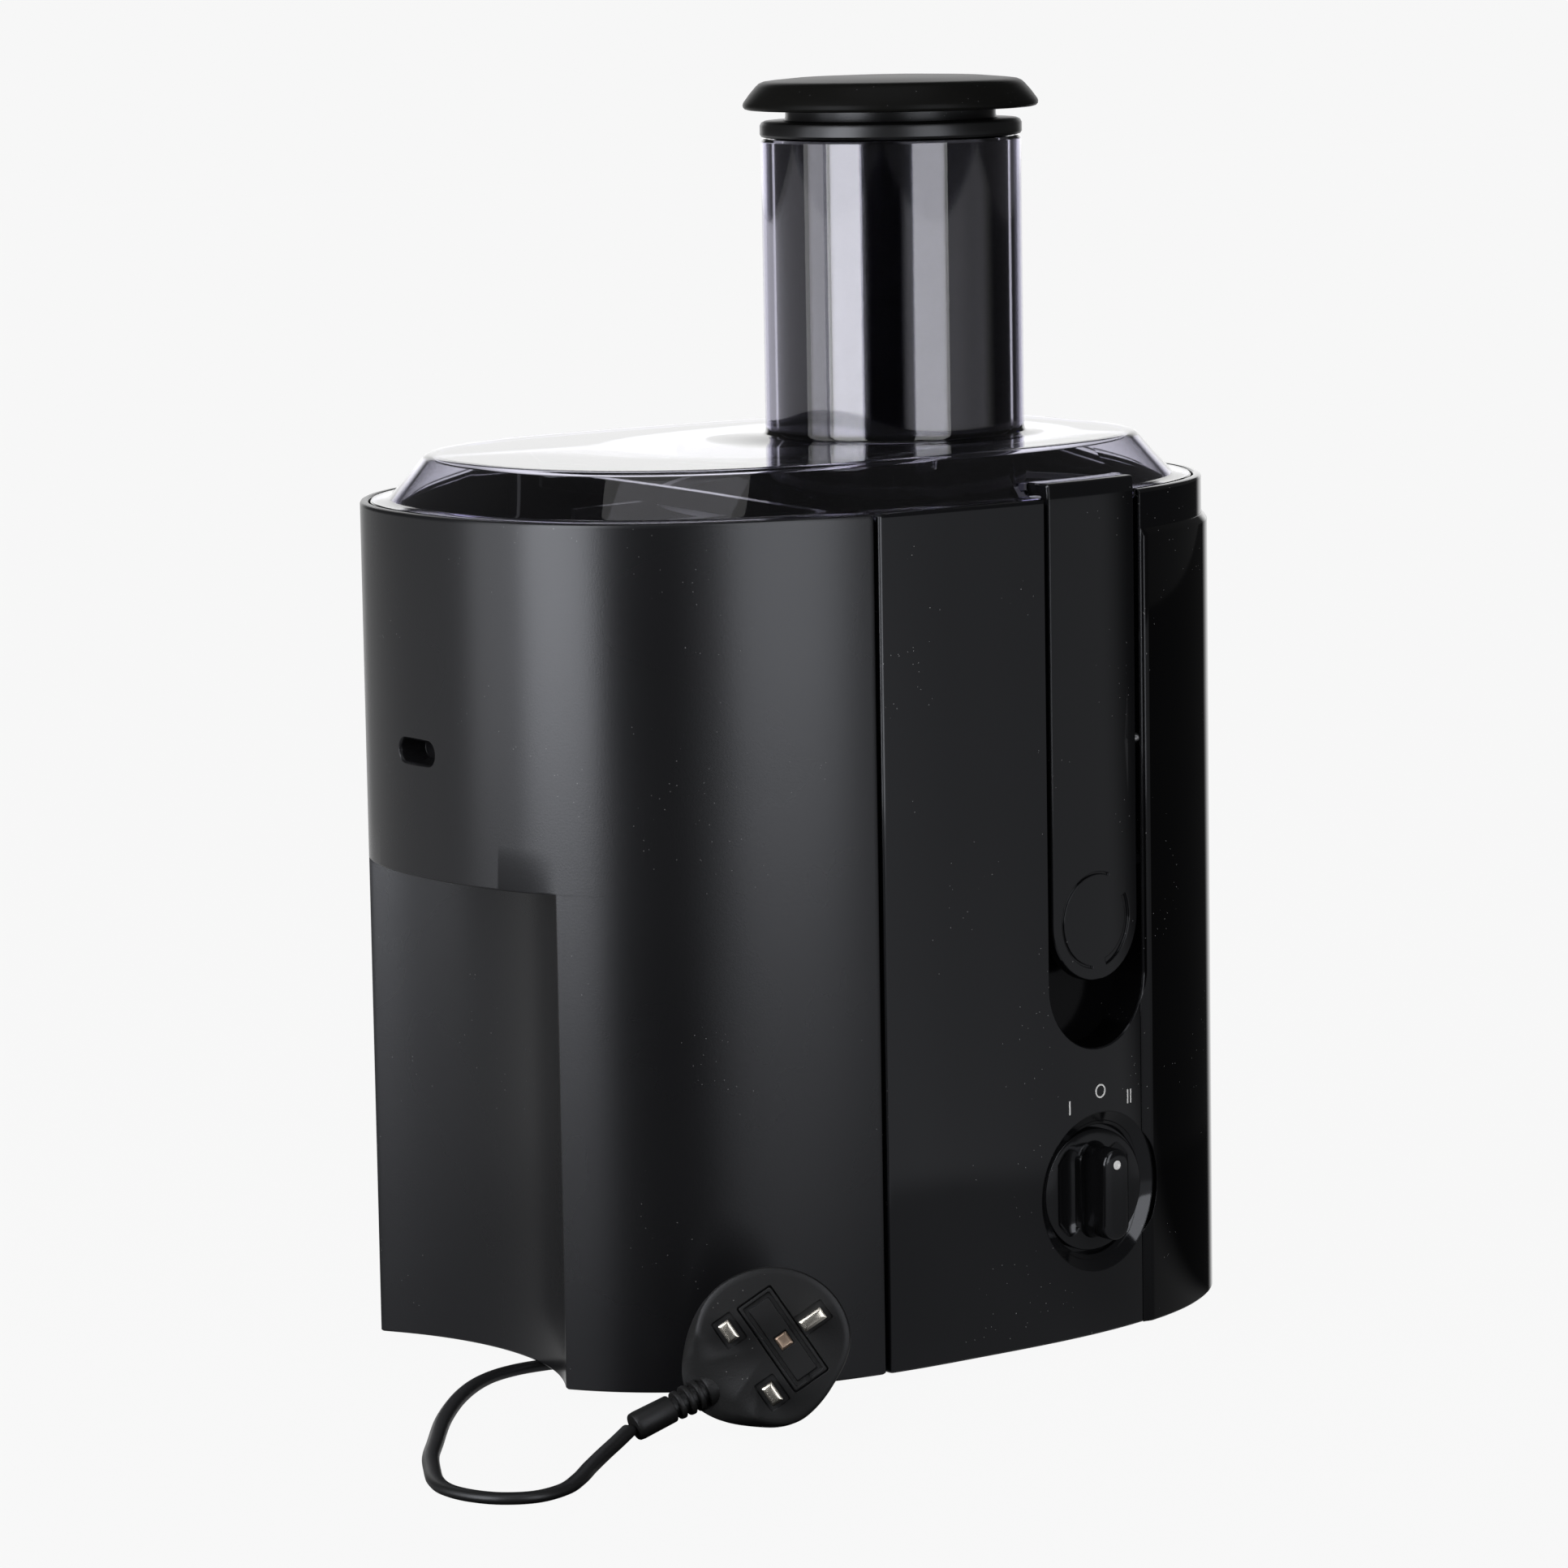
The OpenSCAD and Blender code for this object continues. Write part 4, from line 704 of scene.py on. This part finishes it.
disc_back = recess_floor + 0.0005
disc = solid("speed_knob", [disc_row(r, y=y) for r, y in (
    (knob_r - 0.0006, disc_back), (knob_r, disc_back + 0.0005), (knob_r, disc_front - 0.0005),
    (knob_r - 0.00015, disc_front - 0.00015), (knob_r - 0.0006, disc_front), (knob_r * 0.6, disc_front))])
for s in (-1, 1):
    rows = []
    for grow, up in ((0.0015, 0.002), (0.0, 0.0), (-0.0006, -0.0006), (-0.0016, -0.0012), (-0.0032, -0.0015)):
        row = bar_row(grow - 0.0006, disc_front + up, s * 0.0097)
        # the hollows follow the disc's round edge
        past = np.hypot(row[:, 0] - side_x, row[:, 2] - knob_z)
        limit = knob_r - 0.0024 + min(grow, 0) + (0.0015 if up > 0 else 0)
        pull = np.minimum(1, limit / past)
        row[:, 0] = side_x + (row[:, 0] - side_x) * pull
        row[:, 2] = knob_z + (row[:, 2] - knob_z) * pull
        rows.append(row)
    cut(disc, solid("finger_hollow", rows))
bar = solid("grip_bar", [bar_row(grow, disc_front + up) for grow, up in (
    (0.0008, -0.0019), (0.0016, -0.0006), (0.0006, 0.0004), (0.00015, 0.0012), (0, 0.0022),
    (0, grip_h - 0.0014), (-0.0001, grip_h - 0.0008), (-0.0004, grip_h - 0.0003), (-0.0009, grip_h),
    (-0.003, grip_h))])
cut(disc, bar, "UNION")
dot_z, knob_out = knob_z + (grip_l - grip_w) / 2, disc_front + grip_h


def dot_form(name, steps):
    """A small round form on the bar's end, through rings of (radius, sink below the bar's face)."""
    a = np.linspace(0, 2 * pi, 40, endpoint=False)
    return solid(name, [np.stack([side_x + r * np.cos(a), np.full(40, sink - knob_out),
                                  dot_z + r * np.sin(a)], 1) for r, sink in steps])


cut(disc, dot_form("dot_well", ((0.0017, -0.001), (0.0015, 0.0006))))
dot = dot_form("knob_mark", ((0.00145, 0.00055), (0.00145, 0.0001), (0.0013, 0.00002), (0.00085, 0.00002),
                             (0.0007, 0.0002)))
knob_black = plastic("knob_gloss", (0.0035, 0.0036, 0.004), (0.0048, 0.0048, 0.0053), 0.09, 0.16, 900,
                     0.00001, 0.3, strength=0.2, edge=0.0005)
white_print = plastic("white_print", 0.78, 0.86, 0.35, 0.5, 4000, 0.00001)
settle(disc, "knob", knob_black, 32, ("knob",))
settle(dot, "knob", white_print, 32, ("knob_dot",))


def refinish(name, finish):
    """A finish for a piece that keeps the CAD's own shape."""
    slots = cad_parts[name].data.materials
    slots.clear()
    slots.append(finish)


refinish("dial_marks", white_print)
# ---- Latches ----
# Two gloss black levers on steel pins. Each lies flush in its pocket, hooks over the lid's edge at
# the top, and is pressed at its round lower end, inside a shallow broken ring.
hook_reach, hook_top, hook_foot = 0.012, rim_z + 0.0045, rim_z + 0.0007
lever_sunk, lever_back, lever_edge, pin_z = 0.0006, 0.004, 0.0005, 0.19


def lever(side, name):
    """Cross-sections of the lever from its round lower end up and over the hook."""
    rows = []

    def ring(half_out, half_in, outer, inner):
        """outer and inner are (depth, height) of the two faces, with a chamfer at the outer one."""
        u = np.r_[-1, np.linspace(-0.985, 0.985, 23), 1]
        (e0, z0), (e1, z1) = outer, inner
        share = lever_edge / max(abs(e1 - e0), abs(z1 - z0))
        corner = z0 + (z1 - z0) * share, e0 + (e1 - e0) * share
        rows.append(np.vstack([on_side(side_x + u * half_out, z0, e0, side),
                               on_side([side_x + half_in], *corner, side),
                               on_side(side_x - u * half_in, z1, e1, side),
                               on_side([side_x - half_in], *corner, side)]))

    r = latch_half
    for t in np.radians((7, 12, 18, 25, 32, 40, 48, 56, 64, 72, 80, 86, 90)):
        ring((r - lever_edge) * sin(t), r * sin(t), (lever_sunk, latch_low + r - (r - lever_edge) * cos(t)),
             (lever_back, latch_low + r - r * cos(t)))
    for outer, inner in (
            *(((lever_sunk, z), (lever_back, z)) for z in (0.15, 0.17, 0.19, 0.21, 0.23, 0.25, 0.262)),
            ((lever_sunk, rim_z - 0.0004), (lever_back, rim_z + 0.0003)),
            ((0.0009, hook_top - 0.0008), (0.0043, hook_foot)),
            ((0.0012, hook_top - 0.0003), (0.0047, hook_foot)),
            ((0.0018, hook_top), (0.0052, hook_foot)), ((0.006, hook_top), (0.0065, hook_foot)),
            ((hook_reach - 0.0012, hook_top), (hook_reach - 0.0012, hook_foot)),
            ((hook_reach - 0.0004, hook_top - 0.0003), (hook_reach - 0.0004, hook_foot + 0.0003))):
        ring(r - lever_edge, r, outer, inner)
    made = solid(name, rows)
    # the ring that shows where to press, in two arcs
    middle, above, foot = latch_low + latch_half, -0.002, lever_sunk + 0.0007
    for start, end, r0, r1 in ((68, 262, 0.0144, 0.0152), (-75, 28, 0.0128, 0.0150)):
        a = np.radians(np.linspace(start, end, 60))
        arc = np.c_[np.cos(a) * -side, np.sin(a)]
        groove = np.vstack([r1 * arc, r0 * arc[::-1]])
        ridge = np.vstack([arc, arc[::-1]]) * (r0 + r1) / 2
        cut(made, skin("press_ring", [on_side(side_x + line[:, 0], middle + line[:, 1], depth, side)
                                      for line, depth in ((ridge, above), (groove, above), (groove, foot),
                                                          (ridge, foot))]))
    pin_y = side * (float(side_y(side_x)) - 0.0065)
    for r, half, how in ((0.0034, 0.015, "UNION"), (0.00155, 0.03, "DIFFERENCE")):
        rod = [np.stack([np.full(32, x), pin_y + r * np.cos(turns), pin_z + r * np.sin(turns)], 1)
               for x in (side_x - half, side_x + half)]
        cut(made, solid("pin_rod", rod), how)
    return made


latch_black = plastic("latch_gloss", (0.0034, 0.0035, 0.004), (0.0045, 0.0046, 0.0052), 0.06, 0.12, 600,
                      0.000006, 0.4, strength=0.15, edge=0.0005)
settle(lever(-1, "near_latch_lever"), "latch_near", latch_black, 28, ("latch_near",))
settle(lever(1, "far_latch_lever"), "latch_far", latch_black, 28, ("latch_far",))

# ---- Lid ----
# One clear moulding, faintly violet at its edges: a flat flange on the body's ledge, a sloping wall,
# a flat top plate and the round feed tube that runs down to the grater.
tube_r, tube_in, tube_top, tube_low = 0.0414, 0.0380, 0.376, 0.2095
plate_top, lid_wall = 0.282, 0.0024
rays = np.linspace(0, 2 * pi, 720, endpoint=False)


def by_ray(inset):
    """The oval outline, with one point on each ray from the drive's axis."""
    p = plan(inset, 14400) - (drive_x, 0)
    angle = np.unwrap(np.arctan2(p[:, 1], p[:, 0]))
    reach = np.hypot(p[:, 0], p[:, 1])
    order = np.argsort(angle % (2 * pi))
    r = np.interp(rays, (angle % (2 * pi))[order], reach[order], period=2 * pi)
    return np.stack([drive_x + r * np.cos(rays), r * np.sin(rays)], 1)


def tube_ring(r):
    return np.stack([drive_x + r * np.cos(rays), r * np.sin(rays)], 1)


def between(inset, r, share):
    return by_ray(inset) * (1 - share) + tube_ring(r) * share
edge_in, foot_in, crest_in = 0.0032, 0.009, 0.021
under = plate_top - lid_wall
lid_rows = [level(by_ray(inset), z) for inset, z in (
    (edge_in + 0.0003, rim_z - 0.0029), (edge_in, rim_z - 0.0026), (edge_in, rim_z - 0.0004),
    (edge_in + 0.0004, rim_z), (foot_in - 0.0012, rim_z), (foot_in, rim_z + 0.0004),
    (foot_in + 0.0006, rim_z + 0.0012), ((foot_in + crest_in) / 2, rim_z + (plate_top - rim_z) * 0.51),
    (crest_in - 0.0014, plate_top - 0.0015), (crest_in - 0.0004, plate_top - 0.0005),
    (crest_in + 0.0008, plate_top - 0.0001), (crest_in + 0.0022, plate_top), (crest_in + 0.0028, plate_top))]
lid_rows += [level(between(crest_in, tube_r, share), plate_top) for share in (0.4, 0.8)]
lid_rows += [level(tube_ring(r), z) for r, z in (
    (tube_r + 0.0014, plate_top), (tube_r + 0.0005, plate_top + 0.0004), (tube_r, plate_top + 0.0014),
    *((tube_r, z) for z in (plate_top + 0.0019, 0.30, 0.33, 0.36, tube_top - 0.0008)),
    (tube_r - 0.0004, tube_top - 0.0001), (tube_r - 0.001, tube_top), (tube_in + 0.001, tube_top),
    (tube_in + 0.0003, tube_top - 0.0002), (tube_in, tube_top - 0.0008),
    *((tube_in, z) for z in (tube_top - 0.0012, 0.33, 0.28, 0.24, tube_low + 0.0006)),
    (tube_in + 0.0006, tube_low), (tube_r - 0.0006, tube_low), (tube_r, tube_low + 0.0006),
    (tube_r, under - 0.001), (tube_r + 0.001, under))]
lid_rows.append(level(between(crest_in + 0.003, tube_r, 0.5), under))
lid_rows += [level(by_ray(inset), z) for inset, z in (
    (crest_in + 0.0032, under), (crest_in + 0.0018, under - 0.0005),
    (foot_in + lid_wall + 0.0004, rim_z - 0.0018), (foot_in + lid_wall - 0.0002, rim_z - 0.0027),
    (foot_in + lid_wall - 0.001, rim_z - 0.0029))]
lid = skin("clear_lid", [*lid_rows, lid_rows[0]])


def side_block(name, side, half, low_in, high_in, z0, z1):
    """A block that follows the body's side between two insets."""
    x = np.linspace(-half, half, 21)
    return solid(name, [np.vstack([on_side(side_x + x, z, low_in, side),
                                   on_side(side_x + x[::-1], z, high_in, side)]) for z in (z0, z1)])


notch_half = latch_half + 0.0008
for side in (-1, 1):
    cut(lid, side_block("notch_back", side, notch_half + 0.0024, 0.0102, hook_reach + 0.003, rim_z - 0.0028,
                        rim_z + 0.0043), "UNION")
    cut(lid, side_block("flange_notch", side, notch_half, -0.004, 0.0048, rim_z - 0.006, rim_z + 0.0057))
    cut(lid, side_block("hook_notch", side, notch_half, 0.0047, hook_reach + 0.0006, rim_z, rim_z + 0.03))


def clear_plastic(name, tint, rough):
    """Clear moulded plastic: glass-like, a little tinted, with flow lines and fine scuffs."""
    pale = tuple(min(1, v * 1.015) for v in tint)
    made, tree, shader, grained = base_material(name, tint, pale, rough, rough * 2.5, 160)
    bump = add(tree, "Bump", {"Strength": 0.08, "Distance": 0.00002, "Height": grained.outputs["Height"]})
    tree.links.new(bump.outputs[0], shader.inputs["Normal"])
    shader.inputs["Transmission Weight"].default_value = 1.0
    shader.inputs["IOR"].default_value = 1.5
    # long ways through the plastic turn violet, as its edges show
    depth_tint = add(tree, "VolumeAbsorption", {"Color": (0.17, 0.10, 0.70, 1), "Density": 30})
    tree.links.new(depth_tint.outputs[0], tree.nodes["Material Output"].inputs["Volume"])
    return made


clear_lid = clear_plastic("clear_moulding", (0.975, 0.975, 0.985), 0.012)
settle(lid, "lid", clear_lid, 28, ("lid",))

# ---- Pusher ----
# The food pusher: a hollow polished cylinder that fills the tube, a soft collar that stops it on the
# tube's rim, a short neck, and a wide satin cap to push on.
cap_z, collar_z, cap_r = 0.3851, 0.3763, 0.047
round_a = np.linspace(0, 2 * pi, 192, endpoint=False)

def turned(name, r0, z0, profile_mm):
    """A piece turned about the drive's axis, through rings of (radius past r0, height past z0) in mm."""
    across, along_y = np.cos(round_a), np.sin(round_a)
    return solid(name, [np.stack([drive_x + r * across, r * along_y, np.full(len(round_a), z)], 1)
                        for r, z in ((r0 + dr / 1000, z0 + dz / 1000) for dr, dz in profile_mm)])


pusher_r, pusher_low = 0.0372, 0.2055
barrel_l, neck_l = (collar_z - pusher_low) * 1000, (cap_z - collar_z) * 1000
pusher = turned("pusher_barrel", pusher_r, pusher_low, [
    (-17.2, 3), (-3.2, 3), (-2.6, 3.5), (-2.6, barrel_l - 0.3), (-0.8, barrel_l - 0.1), (0, barrel_l - 0.6),
    (0, 134.5), (0, 94.5), (0, 44.5), (0, 1.7), (0, 1.2), (-0.4, 0.3), (-1.2, 0), (-17.2, 0)])
collar = turned("pusher_collar_ring", tube_r, collar_z, [
    (-11.4, 0), (-1.2, 0), (-0.2, 0.3), (0.3, 1), (0.3, 3.8), (-0.2, 4.7), (-1.2, 5.2), (-6.9, 5.2),
    (-7.6, 5.5), (-7.9, 6.5), (-7.9, neck_l - 0.2)])
cap = turned("pusher_cap_moulding", cap_r, cap_z, [
    (-14, 0), (-1.6, 0), (-0.6, 0.3), (-0.1, 0.9), (0, 1.6), (-0.3, 2.4), (-2.2, 5), (-4.2, 7.3), (-5.2, 8.2),
    (-6.6, 8.8), (-9, 9.1), (-17, 9.8), (-29, 10.2), (-39, 10.3)])
barrel_gloss = plastic("barrel_gloss", (0.0018, 0.0018, 0.0026), (0.0028, 0.0028, 0.0038), 0.10, 0.14, 400,
                       0.000004, coat=0.15, strength=0.1)
satin_black = plastic("satin_cap", (0.0045, 0.0045, 0.0042), (0.006, 0.006, 0.0056), 0.30, 0.38, 2200,
                      0.00005, 0.2, specular=0.06)
collar_soft = plastic("collar_soft", 0.004, 0.006, 0.25, 0.36, 1800, 0.00004, 0.2)
settle(pusher, "pusher", barrel_gloss, 30, ("pusher_body",))
settle(collar, "pusher", collar_soft, 30, ("pusher_collar",))
settle(cap, "pusher", satin_black, 30, ("pusher_cap",))

# ---- Spout ----
# A push-on elbow in gloss black over the bowl's pipe, with a collar, a round bend and a mouth that
# narrows downwards. It turns on the pipe so that the flow can be stopped.
mouth_x = 0.1498


def bend_ring(along_it, r):
    """A ring of the elbow: along_it is 0 at the panel, 1 at the end of the bend and 2 at the mouth."""
    a = np.linspace(0, 2 * pi, 64, endpoint=False)
    turn_r = 0.0072
    start = 0.1393
    if along_it <= 0.35:
        t = along_it / 0.35
        centre, lean = np.array([start + (mouth_x - turn_r - start) * t, 0, spout_z]), 0.0
    elif along_it <= 1:
        lean = (along_it - 0.35) / 0.65 * pi / 2
        centre = np.array([mouth_x - turn_r + turn_r * sin(lean), 0, spout_z - turn_r + turn_r * cos(lean)])
    else:
        lean = pi / 2
        centre = np.array([mouth_x, 0, spout_z - turn_r - (along_it - 1) * 0.0148])
    across = np.array([sin(lean), 0, cos(lean)])
    return centre + np.outer(r * np.cos(a), across) + np.outer(r * np.sin(a), (0, 1, 0))


outside = [(0, 0.0094), (0.02, 0.0098), (0.1, 0.0098), (0.12, 0.0094), (0.3, 0.0093)]
outside += [(s, 0.0093) for s in np.linspace(0.4, 1, 9)]
outside += [(1.2, 0.0091), (1.5, 0.0086), (1.9, 0.0079), (1.97, 0.0077), (2, 0.0074)]
inside = [(2, 0.0062), (1.97, 0.006), (1.4, 0.0061)] + [(s, 0.0061) for s in np.linspace(1, 0.4, 7)]
inside += [(0.36, 0.0061), (0.355, 0.00805), (0, 0.00805)]
elbow = skin("spout_elbow", [bend_ring(s, r) for s, r in outside + inside + outside[:1]])
settle(elbow, "spout", gloss_black, 35, ("spout_nozzle",))

# ---- Bowl, basket and works ----
# The pieces inside: the black juice bowl, the steel grater and mesh basket on its hub, the seals, and
# below the deck the motor with its brackets, switches, board and fan, all as the CAD shows them.
for name, dark, light, smooth, rough, pace, depth, dust, metal, node_names in (
        ("bowl_black", (0.005, 0.005, 0.0055), (0.008, 0.008, 0.009), 0.2, 0.3, 1500, 0.00004, 0.1, 0,
         "juice_bowl basket_hub basket_rim cooling_fan"),
        ("inner_black", (0.008, 0.008, 0.0085), (0.013, 0.013, 0.014), 0.38, 0.5, 1400, 0.0001, 0.2, 0,
         "base_plate cord_hub rotary_switch"),
        ("foot_rubber", 0.012, 0.02, 0.6, 0.75, 1200, 0.00012, 0.4, 0, "feet cord_gland motor_mounts"),
        ("seal_silicone", (0.2, 0.2, 0.21), (0.27, 0.27, 0.28), 0.45, 0.6, 900, 0.00006, 0, 0,
         "bowl_seal spout_seal lid_seal"),
        ("turned_steel", (0.52, 0.53, 0.55), (0.66, 0.67, 0.69), 0.2, 0.36, 2600, 0.00003, 0, 1,
         "base_screws motor_shaft latch_pins lower_bearing upper_bearing knob_spindle drive_coupling "
         "grater_disc basket_mesh"),
        ("varnished_iron", (0.28, 0.29, 0.31), (0.4, 0.41, 0.43), 0.35, 0.5, 1600, 0.00008, 0, 1,
         "motor_stator armature"),
        ("enamelled_copper", (0.5, 0.2, 0.08), (0.72, 0.34, 0.16), 0.28, 0.4, 1500, 0.0001, 0, 1,
         "field_windings commutator"),
        ("cast_alloy", (0.55, 0.56, 0.58), (0.68, 0.69, 0.71), 0.35, 0.5, 900, 0.00012, 0, 1,
         "lower_bracket upper_bracket"),
        ("holder_brass", (0.55, 0.42, 0.2), (0.7, 0.55, 0.3), 0.25, 0.4, 1500, 0.00004, 0, 1,
         "brush_holders"),
        ("board_laminate", (0.03, 0.16, 0.07), (0.05, 0.22, 0.1), 0.3, 0.45, 800, 0.00006, 0, 0,
         "control_board"),
        ("switch_red", (0.4, 0.03, 0.025), (0.5, 0.05, 0.04), 0.35, 0.45, 1200, 0.00004, 0, 0,
         "interlock_switch"),
        ("wire_pvc", (0.06, 0.12, 0.4), (0.1, 0.18, 0.5), 0.35, 0.5, 1200, 0.00004, 0, 0, "wiring")):
    inner_finish = plastic(name, dark, light, smooth, rough, pace, depth, dust, metal=metal)
    for node_name in node_names.split():
        refinish(node_name, inner_finish)

# ---- Floor and light ----
# A pale sweep and wall seen from any side, in a dark room: two tall soft boxes stand on the floor left and
# right of the camera, one hangs overhead, and the wall behind the object is lit. To all but the camera the
# floor shows painted light and shade.
view_ahead = (0.585, 0.799, 0.0)
paper_tone = 0.93


def seen_straight(tree, ahead):
    """Two masks: rays that look at the backdrop directly or through clear plastic, and rays that a
    polished face sends on along the view."""
    path = add(tree, "LightPath").outputs
    through = path["Is Transmission Ray"]
    for label in ("Glossy Depth", "Diffuse Depth"):
        through = maths(tree, "MULTIPLY", through, maths(tree, "LESS_THAN", path[label], 0.5))
    fade = add(tree, "MapRange", {"From Min": 0.87, "From Max": 0.955, "Value": ahead},
               interpolation_type="SMOOTHSTEP")
    return maths(tree, "MAXIMUM", path["Is Camera Ray"], through), fade.outputs[0]


bpy.ops.object.select_all(action="DESELECT")
bpy.ops.mesh.primitive_plane_add(size=14, location=(0, 0, 0))
floor = bpy.context.object
floor.name = "floor"
pale = bpy.data.materials.new("pale_floor")
pale.use_nodes = True
tree = pale.node_tree
floor_shader = tree.nodes["Principled BSDF"]
floor_shader.inputs["Roughness"].default_value = 0.9
floor_shader.inputs["Specular IOR Level"].default_value = 0.0
floor_at = add(tree, "TexCoord").outputs["Object"]
cloudy = add(tree, "TexNoise", {"Vector": floor_at, "Scale": 0.7})
tree.links.new(colour_mix(tree, cloudy.outputs[0], 0.30, 0.32), floor_shader.inputs["Base Color"])
# what the polished sides mirror and what lights the object from below: painted light and shade on the floor,
# brighter towards the soft boxes, black by the camera and past the spout
round_it = add(tree, "TexGradient", {"Vector": floor_at}, gradient_type="RADIAL")
painted_floor_ramp = add(tree, "ValToRGB", {"Fac": round_it.outputs["Color"]})
stops = painted_floor_ramp.color_ramp.elements
stops.remove(stops[1])
painted_floor_ramp.color_ramp.interpolation = "EASE"
painted_floor_tones = ((-180, 0.5), (-156, 0.5), (-148, 0.0), (-120, 0.0), (-112, 0.55), (-70, 0.5), (-48, 0.34),
              (-36, 0.32), (-25, 0.02), (31, 0.02), (45, 0.4), (110, 0.38), (180, 0.5))
for k, (azimuth, tone) in enumerate(painted_floor_tones):
    stop = stops.new((azimuth + 180) / 360) if k else stops[0]
    stop.color = (tone, tone, tone, 1)
# painted shade: the floor's painted light is halved within about 0.36 m of the middle
far = add(tree, "VectorMath", {0: floor_at}, operation="LENGTH")
painted_shade_near = add(tree, "MapRange", {"From Min": 0.36, "From Max": 0.40, "To Min": 0.5, "To Max": 1.0,
                                   "Value": far.outputs["Value"]})
painted_floor_light = maths(tree, "MULTIPLY", painted_floor_ramp.outputs["Color"], painted_shade_near.outputs[0])
incoming = add(tree, "NewGeometry").outputs["Incoming"]
ray_ahead = add(tree, "VectorMath", {0: incoming, 1: tuple(-v for v in view_ahead)}, operation="DOT_PRODUCT")
floor_seen, floor_ahead = seen_straight(tree, ray_ahead.outputs["Value"])
glow_share = 0.97
direct = maths(tree, "MULTIPLY", maths(tree, "MAXIMUM", floor_seen, floor_ahead), paper_tone / glow_share)
# the floor's glow: even paper tone to the camera, painted light and shade to every other ray
paper_and_painted_light = add(tree, "Emission", {"Color": (1, 1, 1, 1), "Strength": maths(tree, "MAXIMUM", direct, painted_floor_light)})
blend_in = add(tree, "MixShader", {0: glow_share, 1: floor_shader.outputs[0], 2: paper_and_painted_light.outputs[0]})
tree.links.new(blend_in.outputs[0], tree.nodes["Material Output"].inputs["Surface"])
floor.data.materials.append(pale)


def soft_box(name, azimuth, reach, middle, wide, tall, radiance):
    """A lamp at an azimuth in degrees, facing the object, with the given radiance."""
    at = Vector((reach * cos(radians(azimuth)), reach * sin(radians(azimuth)), middle))
    bpy.ops.object.light_add(type="AREA", location=at)
    lamp = bpy.context.object
    lamp.name = name
    lamp.data.shape = "RECTANGLE"
    lamp.data.size, lamp.data.size_y = wide, tall
    lamp.data.energy = radiance * pi * wide * tall
    aim = Vector((0, 0, min(middle, 0.2 if middle > 2 else middle)))
    lamp.rotation_euler = (aim - at).to_track_quat("-Z", "Y").to_euler()


soft_box("tall_left", -170, 1.15, 0.67, 0.66, 1.3, 5.8)
soft_box("fill_left", 160, 1.15, 0.67, 0.44, 1.3, 1.8)
soft_box("tall_right", -91, 1.15, 0.67, 0.64, 1.3, 2.9)
soft_box("overhead", -126, 0.3, 2.6, 1.6, 1.6, 0.8)

world = bpy.data.worlds.new("studio")
bpy.context.scene.world = world
world.use_nodes = True
tree = world.node_tree
wall_glow, wall_rest = 1.35, 0.06
direction = add(tree, "TexCoord").outputs["Generated"]
behind = add(tree, "VectorMath", {0: direction, 1: view_ahead}, operation="DOT_PRODUCT")
wall_seen, wall_ahead = seen_straight(tree, behind.outputs["Value"])
mirrored_wall = maths(tree, "MULTIPLY", maths(tree, "MULTIPLY", wall_ahead, wall_glow),
                      maths(tree, "SUBTRACT", 1.0, wall_seen))
bright = maths(tree, "MAXIMUM", maths(tree, "MULTIPLY", wall_seen, paper_tone), mirrored_wall)
sky = tree.nodes["Background"]
sky.inputs["Color"].default_value = (1, 1, 1, 1)
tree.links.new(maths(tree, "MAXIMUM", bright, wall_rest), sky.inputs["Strength"])
bpy.context.scene.view_settings.view_transform = "Standard"
